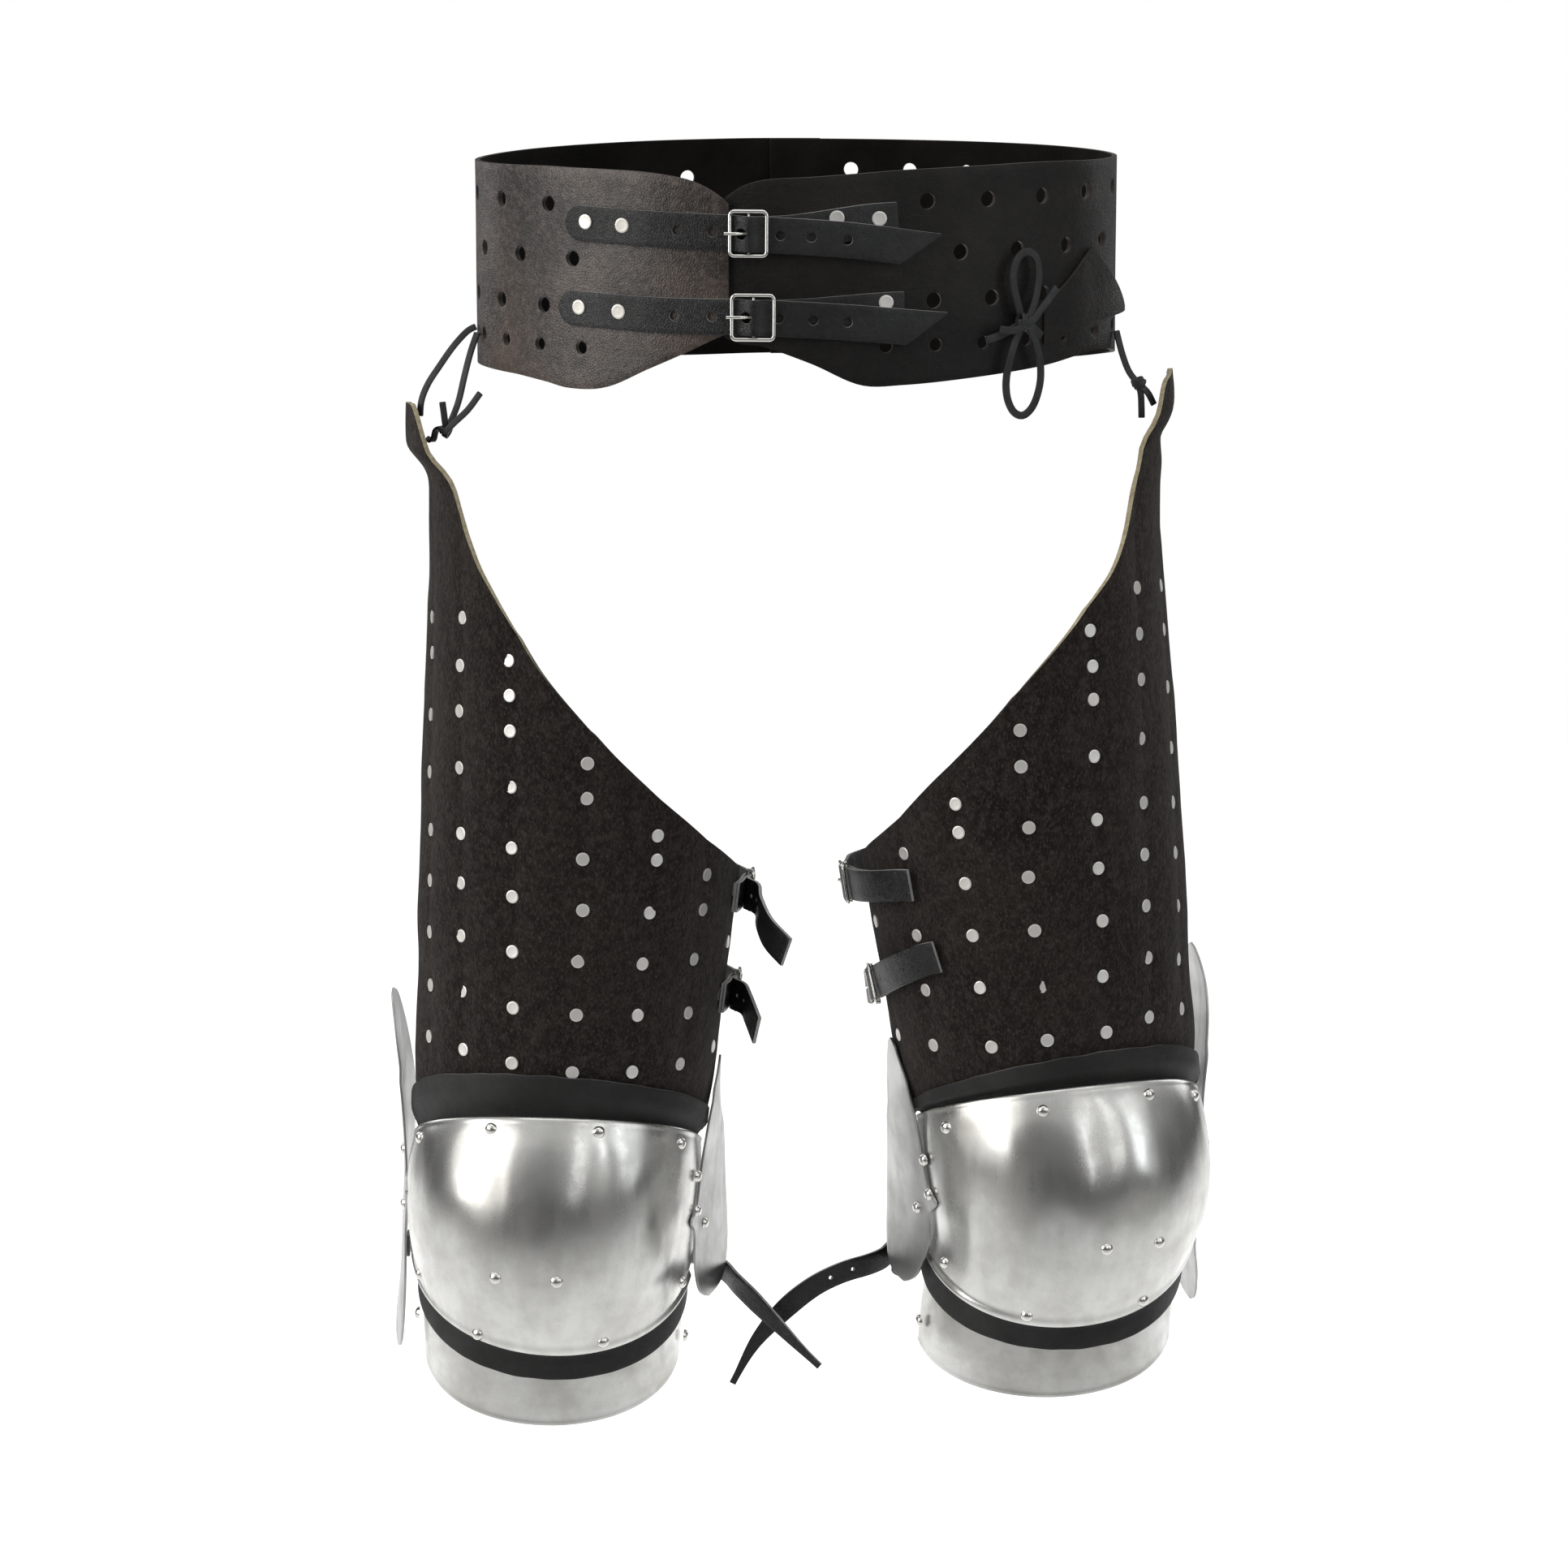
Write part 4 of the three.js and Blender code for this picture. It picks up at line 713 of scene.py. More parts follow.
for name, half in beltHalves.items():
    holes = []
    for height, first, pitch, radius in half["holes"]:
        arc = first
        while arc < ringGirth / 2 - 28:
            atBack = arc > 235
            place = arc + (half["behind"] if atBack else 0)
            if place < ringGirth / 2 - 28:
                holes.append((place, height - (4 if atBack else 0), radius))
            arc += pitch

    def bendBelt(arc, height, out):
        wave = 0.35 * ripple((arc, height, 0), 55, half["side"])
        return ringPoint(half["side"] * arc, height, readTable(half["lift"], arc) + out + wave)

    beltPiece = plate(
        f"belt{name.title()}Half", half["start"], half["end"],
        lambda arc: readTable(half["edges"], arc, 2), lambda arc: readTable(half["edges"], arc, 1),
        ring["leather"], bendBelt, holes, cell=4, cellAcross=6, bevel=0.55, rim=True)
    addMaterials(beltPiece, half["material"], beltEdge, beltInsideShade)
    # faces turned in towards the wearer take the inner face's painted shade
    for face in beltPiece.data.polygons:
        if face.material_index == 0 and face.normal.dot(ringAway(face.center)) < -0.3:
            face.material_index = 2
    hand(beltPiece, "belt_leather", f"belt_{name}")
print("belt halves are cut")

flapEdges = [(137, -23.5, -42), (141, -21.5, -41), (167, -3, -33.7), (189, 13.5, -29.4), (193, 11, -28.8),
             (231, -24.5, -27.5)]
flap = plate(
    "beltFlap", 148.5, 231, lambda arc: readTable(flapEdges, arc, 2), lambda arc: readTable(flapEdges, arc, 1), 2,
    lambda arc, height, out: ringPoint(arc, height, 3.3 + out + 4 * smoothStep(arc, 185, 231)),
    cell=2.5, cellAcross=3, bevel=0.4, rim=True)
# the flap takes the shaded copy of the belt leather: painted shade
dress(flap, "belt_leather", (beltShadedCopy, beltEdge), "belt_flap")


# ---- straps, chapes and buckles ----
gap = 0.3
strapSize = {"width": 20, "leather": 2, "chape": 1.5, "bump": 8.5, "prongBehind": 3.8, "chapeReach": 8}
stack = {"chapeLow": gap, "barRadius": 0.8}
stack["chapeHigh"] = stack["chapeLow"] + strapSize["chape"] + gap
stack["tail"] = stack["chapeHigh"] + strapSize["chape"] + gap
stack["wrap"] = stack["barRadius"] + gap + strapSize["chape"]
stack["bar"] = stack["chapeLow"] + strapSize["chape"] + stack["wrap"] - 0.3
stack["overBar"] = stack["bar"] + stack["wrap"] + gap
stack["ring"] = stack["tail"] + strapSize["leather"] + gap


# 1 over the buckle's bar and 0 away from it, where the strap lies flat
def bumpAt(arc, bar):
    return 0.5 + 0.5 * math.cos(math.pi * min(1, abs(arc - bar) / strapSize["bump"]))


# along, across and away from the surface at a strap's arc
def strapFrame(place, arc, heightAt, base):
    centre = place(arc, heightAt(arc), base)
    outwards = place(arc, heightAt(arc), base + 1) - centre
    along = (place(arc + 1, heightAt(arc + 1), base) - place(arc - 1, heightAt(arc - 1), base)).normalized()
    up = place(arc, heightAt(arc) + 1, base) - centre
    up = (up - along * up.dot(along)).normalized()
    away = along.cross(up)
    if away.dot(outwards) < 0:
        up, away = -up, -away
    return centre, along, up, away


def seatMatrix(place, arc, heightAt, base):
    centre, along, up, away = strapFrame(place, arc, heightAt, base)
    turned = Matrix((along, up, away)).transposed().to_4x4()
    return Matrix.Translation(centre) @ turned


def moveMesh(obj, matrix):
    obj.data.transform(Matrix.Scale(mm, 4) @ matrix)
    obj.data.update()


def wireCurve(name, points, radius, cyclic=False, smooth=True):
    curve = bpy.data.curves.new(name, "CURVE")
    curve.dimensions = "3D"
    curve.bevel_depth = radius
    curve.bevel_resolution = 4
    curve.use_fill_caps = True
    spline = curve.splines.new("NURBS" if smooth else "POLY")
    spline.points.add(len(points) - 1)
    for target, point in zip(spline.points, points):
        target.co = (*point, 1)
    if smooth:
        spline.order_u = 3
        spline.use_endpoint_u = True
        spline.resolution_u = 6
    spline.use_cyclic_u = cyclic
    obj = bpy.data.objects.new(name, curve)
    bpy.context.collection.objects.link(obj)
    pick(obj)
    bpy.ops.object.convert(target="MESH")
    return bpy.context.object


# a centre-bar buckle in its own plane, its prong towards -X
buckleShape = {"corner": 2.6, "steps": 5, "lugRise": 0.4, "lugExtra": 1.6, "lugThin": 0.9, "prong": 0.95, "edge": 0.2}


def makeBuckle(name, length, height, wire, place, arc, heightAt, base, node):
    radius, corner, steps = wire / 2, buckleShape["corner"], buckleShape["steps"]
    halfLength, halfHeight = length / 2 - radius, height / 2 - radius
    outline = []
    for cx, cy, start in ((1, -1, -90), (1, 1, 0), (-1, 1, 90), (-1, -1, 180)):
        for step in range(steps + 1):
            angle = math.radians(start + 90 * step / steps)
            outline.append((cx * (halfLength - corner) + corner * math.cos(angle),
                            cy * (halfHeight - corner) + corner * math.sin(angle), stack["ring"] + radius))
    parts = [wireCurve(f"{name}Frame", outline, radius, cyclic=True, smooth=False)]
    bar, ringTop, tip = stack["bar"], stack["ring"] + wire, -length / 2
    bpy.ops.mesh.primitive_cylinder_add(
        vertices=16, radius=stack["barRadius"], depth=height - wire, location=(0, 0, bar),
        rotation=(math.radians(90), 0, 0))
    parts.append(bpy.context.object)
    for end in (-1, 1):
        bpy.ops.mesh.primitive_cube_add(size=1, location=(
            0, end * (height - wire) / 2, (bar + stack["ring"]) / 2 + buckleShape["lugRise"]))
        lug = bpy.context.object
        lug.scale = (2 * stack["barRadius"], wire * buckleShape["lugThin"],
                     stack["ring"] - bar + buckleShape["lugExtra"])
        parts.append(lug)
    prong = [(1.1, 0, bar + 0.9), (0.2, 0, bar + 1.5), (-2.2, 0, bar + 2.0), (-5.2, 0, ringTop + 0.3),
             (tip + 2, 0, ringTop + 1.1), (tip - 1.8, 0, ringTop + 0.5)]
    parts.append(wireCurve(f"{name}Prong", prong, buckleShape["prong"]))
    for part in parts:
        settle(part)
    buckle = joinPieces(name, parts)
    addBevel(buckle, buckleShape["edge"], 55)
    applyAll(buckle)
    moveMesh(buckle, seatMatrix(place, arc, heightAt, base))
    smoothBy(buckle)
    return dress(buckle, "nickel", (nickelBright,), node)


# a chape folded round its bar: two layers from its rivets to the buckle, with a slot for the prong in the fold
wrapTurns = (-80, -40, 0, 40, 80)
prongSlot = {"radius": 1.9, "stretch": 2.4}


def makeChape(name, place, bar, end, base, heightAt, width, pitch, node):
    half, near = strapSize["chape"] / 2, bar + strapSize["chapeReach"]
    runs = max(1, math.ceil((end - near) / pitch))
    straight = [mix(end, near, i / runs) for i in range(runs + 1)]
    route = [(arc, stack["chapeLow"] + half) for arc in straight]
    radius = stack["wrap"] - half
    for angle in map(math.radians, wrapTurns):
        route.append((bar - radius * math.cos(angle), stack["bar"] + radius * math.sin(angle)))
    route += [(arc, stack["chapeHigh"] + half) for arc in reversed(straight)]
    stations = [(place(arc, heightAt(arc), base + out), strapFrame(place, arc, heightAt, base)[2])
                for arc, out in route]
    rail = layRail(stations, 4)
    fold = rail["marks"][len(straight) + len(wrapTurns) // 2]
    chape = ribbon(name, rail, width, strapSize["chape"],
                   holes=[(fold, 0, prongSlot["radius"], prongSlot["stretch"])], cell=2.5)
    return dress(chape, "strap_leather", (strapBlack, strapEdgeAndHighlight), node)


# flat rivet heads: one low disc with a fine rim, copied to its places
rivetSize = {"belt": (4.2, 1.0), "suede": (3.9, 1.0, 16), "dome": (3.7, 2.3)}


def makeDisc(name, radius, height, sides=18):
    bpy.ops.mesh.primitive_cylinder_add(vertices=sides, radius=radius, depth=height, location=(0, 0, 0))
    disc = newest(name)
    bpy.ops.object.mode_set(mode="EDIT")
    bm = bmesh.from_edit_mesh(disc.data)
    for face in bm.faces:
        face.select_set(face.normal.z > 0.9)
    bmesh.update_edit_mesh(disc.data)
    bpy.ops.mesh.inset(thickness=0.12 * radius, depth=0.22 * height)
    bpy.ops.mesh.inset(thickness=0.14 * radius, depth=-0.1 * height)
    bpy.ops.mesh.inset(thickness=0.45 * radius, depth=0.03 * height)
    bpy.ops.object.mode_set(mode="OBJECT")
    smoothBy(disc, 50)
    return disc


def makeDome(name, radius, height):
    bpy.ops.mesh.primitive_uv_sphere_add(segments=18, ring_count=12, radius=radius, location=(0, 0, 0))
    dome = newest(name)
    bpy.ops.object.mode_set(mode="EDIT")
    bpy.ops.mesh.bisect(plane_co=(0, 0, 0), plane_no=(0, 0, 1), clear_inner=True, use_fill=True)
    bpy.ops.object.mode_set(mode="OBJECT")
    for vertex in dome.data.vertices:
        vertex.co.z *= height / radius
        if vertex.co.z < 0.05 * height:
            vertex.co.x *= 1.06
            vertex.co.y *= 1.06
            vertex.co.z -= 0.5
    smoothBy(dome, 60)
    return dome


def copyTo(name, model, places):
    copies = []
    for matrix in places:
        copied = model.copy()
        copied.data = model.data.copy()
        bpy.context.collection.objects.link(copied)
        spin = Matrix.Rotation(random.uniform(0, 6.28), 4, "Z") @ Matrix.Rotation(random.uniform(-0.05, 0.05), 4, "X")
        moveMesh(copied, matrix @ spin)
        copies.append(copied)
    return joinPieces(name, copies)


def setRivets(name, model, places, material, slotName):
    rivets = copyTo(name, model, places)
    bpy.data.objects.remove(model)
    dress(rivets, slotName, (material,))


def faceMatrix(place, a, b, out):
    centre = place(a, b, out)
    away = (place(a, b, out + 1) - centre).normalized()
    side = place(a, b + 1, out) - centre
    side = (side - away * side.dot(away)).normalized()
    return Matrix.Translation(centre) @ Matrix((side, away.cross(side), away)).transposed().to_4x4()


beltStraps = {
    "upper": {
        "bar": -25.7, "buckle": 23, "chapeEnd": 56, "tip": 80.5, "cutBack": 24, "chapeRise": 7.5,
        "line": [(-134, 31.6), (-66, 30), (-26, 28.7), (28, 25.3), (81, 17.5)],
        "holes": [-65.4, -45.7, -8.4, 8.4, 28], "rivets": [(-120.6, 32.5), (-97, 31.7)],
        "chapeRivets": [(22.3, 37.5), (45.6, 36.8)]},
    "lower": {
        "bar": -23.2, "buckle": 26, "chapeEnd": 60, "tip": 84.4, "cutBack": 24, "chapeRise": 4,
        "line": [(-139, -16.5), (-67, -17.7), (-23, -17.8), (28, -20.5), (85, -26.5)],
        "holes": [-67, -46, -9.4, 9.4, 28], "rivets": [(-125.3, -15.8), (-99.6, -16.7)],
        "chapeRivets": [(49.5, -9.9)]},
}
beltRivetPlaces = []
for name, strap in beltStraps.items():
    half = strapSize["width"] / 2
    start, bar, tip, cutBack = strap["line"][0][0], strap["bar"], strap["tip"], strap["cutBack"]

    def middleOf(arc):
        return readTable(strap["line"], arc)

    def roundEnd(arc):
        return math.sqrt(max(0.02, 1 - max(0, (start + half - arc) / half) ** 2))

    def liftOf(arc):
        low = mix(ring["leather"] + gap, ring["leather"] + stack["tail"], smoothStep(arc, -118, -80))
        return low + bumpAt(arc, bar) * (stack["overBar"] - stack["tail"]) - 1.5 * smoothStep(arc, 60, 85)

    holes = [(arc, middleOf(arc), 2.75) for arc in strap["holes"]]
    holes += [(bar - strapSize["prongBehind"], middleOf(bar), 3.2)]
    strapPiece = plate(
        f"beltStrap{name.title()}", start, tip,
        lambda arc: middleOf(arc) + half * mix(-roundEnd(arc), 0.93, clamp((arc - tip + cutBack) / cutBack, 0, 1)),
        lambda arc: middleOf(arc) + half * roundEnd(arc), strapSize["leather"],
        lambda arc, height, out: ringPoint(arc, height, liftOf(arc) + out + 0.25 * ripple((arc, height, 5), 30)),
        holes, cell=2, cellAcross=3, bevel=0.45, rim=True)
    dress(strapPiece, "strap_leather", (strapBlack, strapEdgeAndHighlight), f"belt_strap_{name}")

    def heightOf(arc):
        middle = readTable(strap["line"], bar)
        return middle + strap["chapeRise"] * smoothStep(arc, bar + strapSize["chapeReach"], strap["chapeEnd"])

    makeChape(f"beltChape{name.title()}", ringPoint, bar, strap["chapeEnd"], ring["leather"], heightOf,
              strapSize["width"] - 1, 15, f"belt_chape_{name}")
    makeBuckle(f"beltBuckle{name.title()}", strap["buckle"], 27, 2.2, ringPoint, bar, heightOf, ring["leather"],
               f"belt_buckle_{name}")
    beltRivetPlaces += [faceMatrix(ringPoint, arc, height, liftOf(arc) + strapSize["leather"] + gap)
                        for arc, height in strap["rivets"]]
    beltRivetPlaces += [faceMatrix(ringPoint, arc, height, ring["leather"] + stack["tail"])
                        for arc, height in strap["chapeRivets"]]
setRivets("beltRivets", makeDisc("beltDisc", *rivetSize["belt"]), beltRivetPlaces, rivetSteel, "satin_steel")
print("belt straps and buckles are on")


# ---- legs: x outwards, y back, z up along the thigh, 0 at the knee's top ----
suede = {"leather": 3, "rib": 1.3, "tuck": 1.5, "innerEdge": -94, "outerEdge": 113}
steelSize = {"cop": 1.5, "wing": 1.4, "lame": 1.5}
hollow = {"depth": 0.55, "reach": 12, "spread": 30}
arcPerDegree = 1.65
reach = {"cop": 84, "lame": 96}
# a fitting script printed much of this, so it isn't worked out here: most of suedeRivets digit for digit, copRivets
# and the inner wingRivets rounded, and suedeTops, the straps' tails and the hip laces rounded or moved by hand
legs = {
    "right": {
        "mirror": -1, "knee": (-139.4, 0, -494), "lean": 4.5, "thighTurn": -2, "kneeTurn": 5, "topColumn": 1,
        "stripTop": (23, -20, 0), "copTop": (-2, -18.5, -4), "copBottom": (-147.5, 23, -1.5),
        "stripBottom": (-164, 19, -2), "lameBottom": (-194.4, 14, -4), "cusps": {"outer": -72, "inner": -73},
        "wingOuts": {
            "outer": [(-107, 24, 3), (-60, 18, 0.5), (0, 13, 0), (50, 9, 3), (94, 6, 10), (117, 4, 15)],
            "inner": [(-54, 26, 0), (0, 19, 0), (40, 13, 0), (70, 6, 0), (96, 0, 0)]},
        "shift": [(-190, -5), (-150, -3), (-75, 1), (60, 0)],
        "flare": [(300, 0), (334, 1.6), (358, 0.9), (366, 3.5), (376, 11), (384, 11.5), (403, 9)],
        "suedeRivets": [
            (49.9, 285.8), (50.1, 257.6), (49.3, 230.9), (47.9, 197.6), (45.6, 159), (44.6, 129.6), (43.5, 98.1),
            (42.3, 65), (40, 30.1), (28.2, 266.4), (27.1, 246.1), (26.1, 225.4), (24.6, 192.7), (23.1, 156.8),
            (21.8, 127.9), (20.7, 95), (19.5, 61.3), (18.4, 28), (-1.7, 211.6), (-2.3, 191), (-2.4, 154.8),
            (-3.7, 124.3), (-3.3, 93.4), (-4.2, 61), (-4.5, 26), (-28.5, 170), (-29, 155.4), (-28.1, 123.7),
            (-27.1, 92.8), (-27.4, 61.5), (-27.4, 26.9), (-52.7, 143.9), (-52.5, 122.8), (-50.6, 92.9), (-51.2, 59.9),
            (-49.6, 28.9), (-78, 129), (-77, 97.2), (-76, 65), (-75, 33), (76.7, 278.9), (73.6, 258.5), (71.8, 222),
            (70.2, 188), (66.6, 154.4), (65.8, 124), (64.9, 93), (63.8, 61), (62.6, 30), (104, 300), (104.5, 262),
            (103.5, 222), (102, 184), (100, 146), (97, 108), (94.5, 70), (92, 34)],
        "copRivets": [(65, -33), (24, -13), (-16, -9), (-55, -21), (65, -117), (-67, -111), (28, -140), (-23, -138),
                      (17, -99), (-4, -97)],
        "wingRivets": {"inner": [(69, -45), (73, -68), (82, -79)], "outer": [(84, -50), (84, -84)]},
        "lameRivets": [(-84, -152), (88, -152)]},
    "left": {
        "mirror": 1, "knee": (151.7, 0, -487), "lean": 6.6, "thighTurn": 2, "kneeTurn": 16, "topColumn": 2,
        "stripTop": (26, -20, 7), "copTop": (8, -17, 1), "copBottom": (-136, 22.6, -12),
        "stripBottom": (-151, 17, -13), "lameBottom": (-182, 12, -8), "cusps": {"outer": -57, "inner": -62},
        "wingOuts": {
            "outer": [(-107, 6, 11), (-86, 6, 7), (-62, 6, 0.5), (0, 6, 0), (25, 6, 0), (67, 6, 7.5), (94, 6, 10),
                      (117, 6, 8)],
            "inner": [(-54, 19, 0), (0, 14, 0), (40, 9, 0), (70, 5, 0), (96, 0, 0)]},
        "shift": [(-190, -22), (-150, -17), (-75, 0), (60, 0)],
        "flare": [(320, 0), (346, 1.3), (358, 2.0), (376, 1.2), (384, 5), (391, 7), (400, 6.3), (412, 4)],
        "suedeRivets": [
            (53.9, 293.4), (53.1, 266.4), (51.9, 239.8), (49.1, 205.6), (47.7, 167.7), (46.1, 137.1), (44.9, 106.6),
            (44.2, 75.4), (42.4, 39.9), (30, 275.6), (29.7, 254.7), (28.8, 235.4), (27.1, 202.3), (26, 164.9),
            (24.9, 136.1), (24.7, 104.4), (23.1, 71.4), (22.4, 37.5), (1.9, 224.3), (0.9, 203), (1.4, 166.6),
            (-0.6, 137.3), (-0.4, 105), (-0.2, 70.9), (-0.2, 38.3), (-23.1, 184), (-23.2, 167), (-23.1, 136.2),
            (-22.8, 104.7), (-22.7, 73), (-21.2, 36.7), (-47.5, 153.6), (-46.7, 103.8), (-46.7, 70.4), (-46.9, 36.4),
            (-76.3, 106.6), (-73, 72), (-71.2, 37.6), (77, 288), (76, 262), (74.5, 228), (73, 192), (70, 160),
            (68.5, 130), (67.5, 98), (66.2, 66), (65, 36), (106, 306), (106.5, 268), (105.5, 228), (104, 190),
            (102, 152), (99, 114), (96.5, 76), (94, 40)],
        "copRivets": [(-46, -14), (-5, -3), (36, -5), (66, -18), (-54, -99), (-12, -127), (37, -130), (13, -88),
                      (34, -92)],
        "wingRivets": {"inner": [(62, -37), (61, -58), (71, -69)], "outer": [(95, -42), (97, -74)]},
        "lameRivets": [(-72, -141), (104, -146)]},
}
thighSections = [
    (-200, 78, 77), (-150, 82, 83), (-110, 83, 86), (-60, 84, 87), (-20, 86, 86), (15, 87.5, 86.5), (60, 88.5, 88.5),
    (100, 91, 91), (200, 94.5, 97), (300, 97, 101), (340, 98.5, 102), (370, 102.5, 103), (420, 112, 104)]
suedeTops = [  # the turn, then the upper edge on the right and on the left leg
    (-94, 138, 146), (-75, 144.5, 153.5), (-52, 162.5, 172.5), (-30, 187, 201), (-11, 213.5, 228), (5, 239, 253.5),
    (19, 264, 275.5), (31, 289, 294), (40, 308, 309), (48, 327, 329), (56, 349, 362), (65, 385, 403), (74, 402, 411),
    (82, 403, 412), (92, 399, 409), (100, 370, 380), (106, 312, 322), (113, 266, 276)]
rivetColumns = [(-77, -74), (-50, -48), (-26, -24.5), (0, -2), (28, 20), (52, 41.5), (77, 64), (103, 89)]
wingOutlines = {
    "outer": {"side": 1, "edges": [
        (-107, 91, 97), (-96, 86, 104), (-60, 80, 111), (-10, 77.5, 113), (0, 72, 113), (9, 77.5, 113), (50, 79, 111),
        (85, 82, 106), (108, 87, 100), (117, 91, 96)]},
    "inner": {"side": -1, "edges": [
        (-54, 89, 95), (-46, 84, 104), (-26, 79, 111), (-8, 77.5, 113), (0, 72, 113), (8, 77.5, 113), (45, 79, 111),
        (72, 83, 106), (90, 89, 100), (96, 92, 97)]},
}


def columnTurn(index, height):
    high, low = rivetColumns[index]
    return mix(low, high, clamp((height - 30) / 260, 0, 1.3))


def ribOut(turn, height):
    for i in range(len(rivetColumns) - 1):
        start, end = columnTurn(i, height), columnTurn(i + 1, height)
        if start < turn < end:
            return suede["rib"] * math.sin(math.pi * (turn - start) / (end - start)) ** 0.7
    return 0


def buildLegTools(leg):
    lean = -leg["mirror"] * math.radians(leg["lean"])
    frameMatrix = Matrix.Translation(leg["knee"]) @ Matrix.Rotation(lean, 4, "Y")

    def surface(turn, height, out):
        angle = math.radians(turn)
        side = readTable(thighSections, height, 1) + readTable(leg["flare"], height)
        front = readTable(thighSections, height, 2)
        normal = Vector((math.sin(angle) / side, -math.cos(angle) / front, 0)).normalized()
        x = readTable(leg["shift"], height) + side * math.sin(angle) + out * normal.x
        return frameMatrix @ Vector((leg["mirror"] * x, -front * math.cos(angle) + out * normal.y, height))

    def edgeOf(name):
        centre, rise, tilt = leg[name]
        return lambda turn: centre + rise * (turn / 65) ** 2 + tilt * math.sin(math.radians(turn))

    edges = {name: edgeOf(name) for name in ("stripTop", "copTop", "copBottom", "stripBottom", "lameBottom")}

    def copOut(turn, height):
        top, bottom = edges["copTop"](turn), edges["copBottom"](turn)
        down = clamp((top - height) / (top - bottom), 0, 1)
        facing = max(0, math.cos(math.radians(turn - leg["kneeTurn"])))
        bowl = max(0, math.sin(math.pi * down ** 0.9)) ** 0.75
        return bowl * (3 + 15 * facing ** 1.6) + 2 * smoothStep(down, 0.95, 1)

    def wingOut(name, rise, turn):
        place = wingOutlines[name]["side"] * turn + leg["kneeTurn"]
        height = leg["cusps"][name] + rise
        back = max(0, (turn - 75) / 38)
        leather = suede["leather"] + mix(2 + gap, suede["rib"], smoothStep(height - edges["stripTop"](place), 2, 14))
        carried = max(copOut(place, height) + steelSize["cop"], leather)
        table = leg["wingOuts"][name]
        return carried + gap + readTable(table, rise, 1) * back ** 1.8 + readTable(table, rise, 2)

    return {"frame": frameMatrix, "surface": surface, "edges": edges, "copOut": copOut, "wingOut": wingOut}


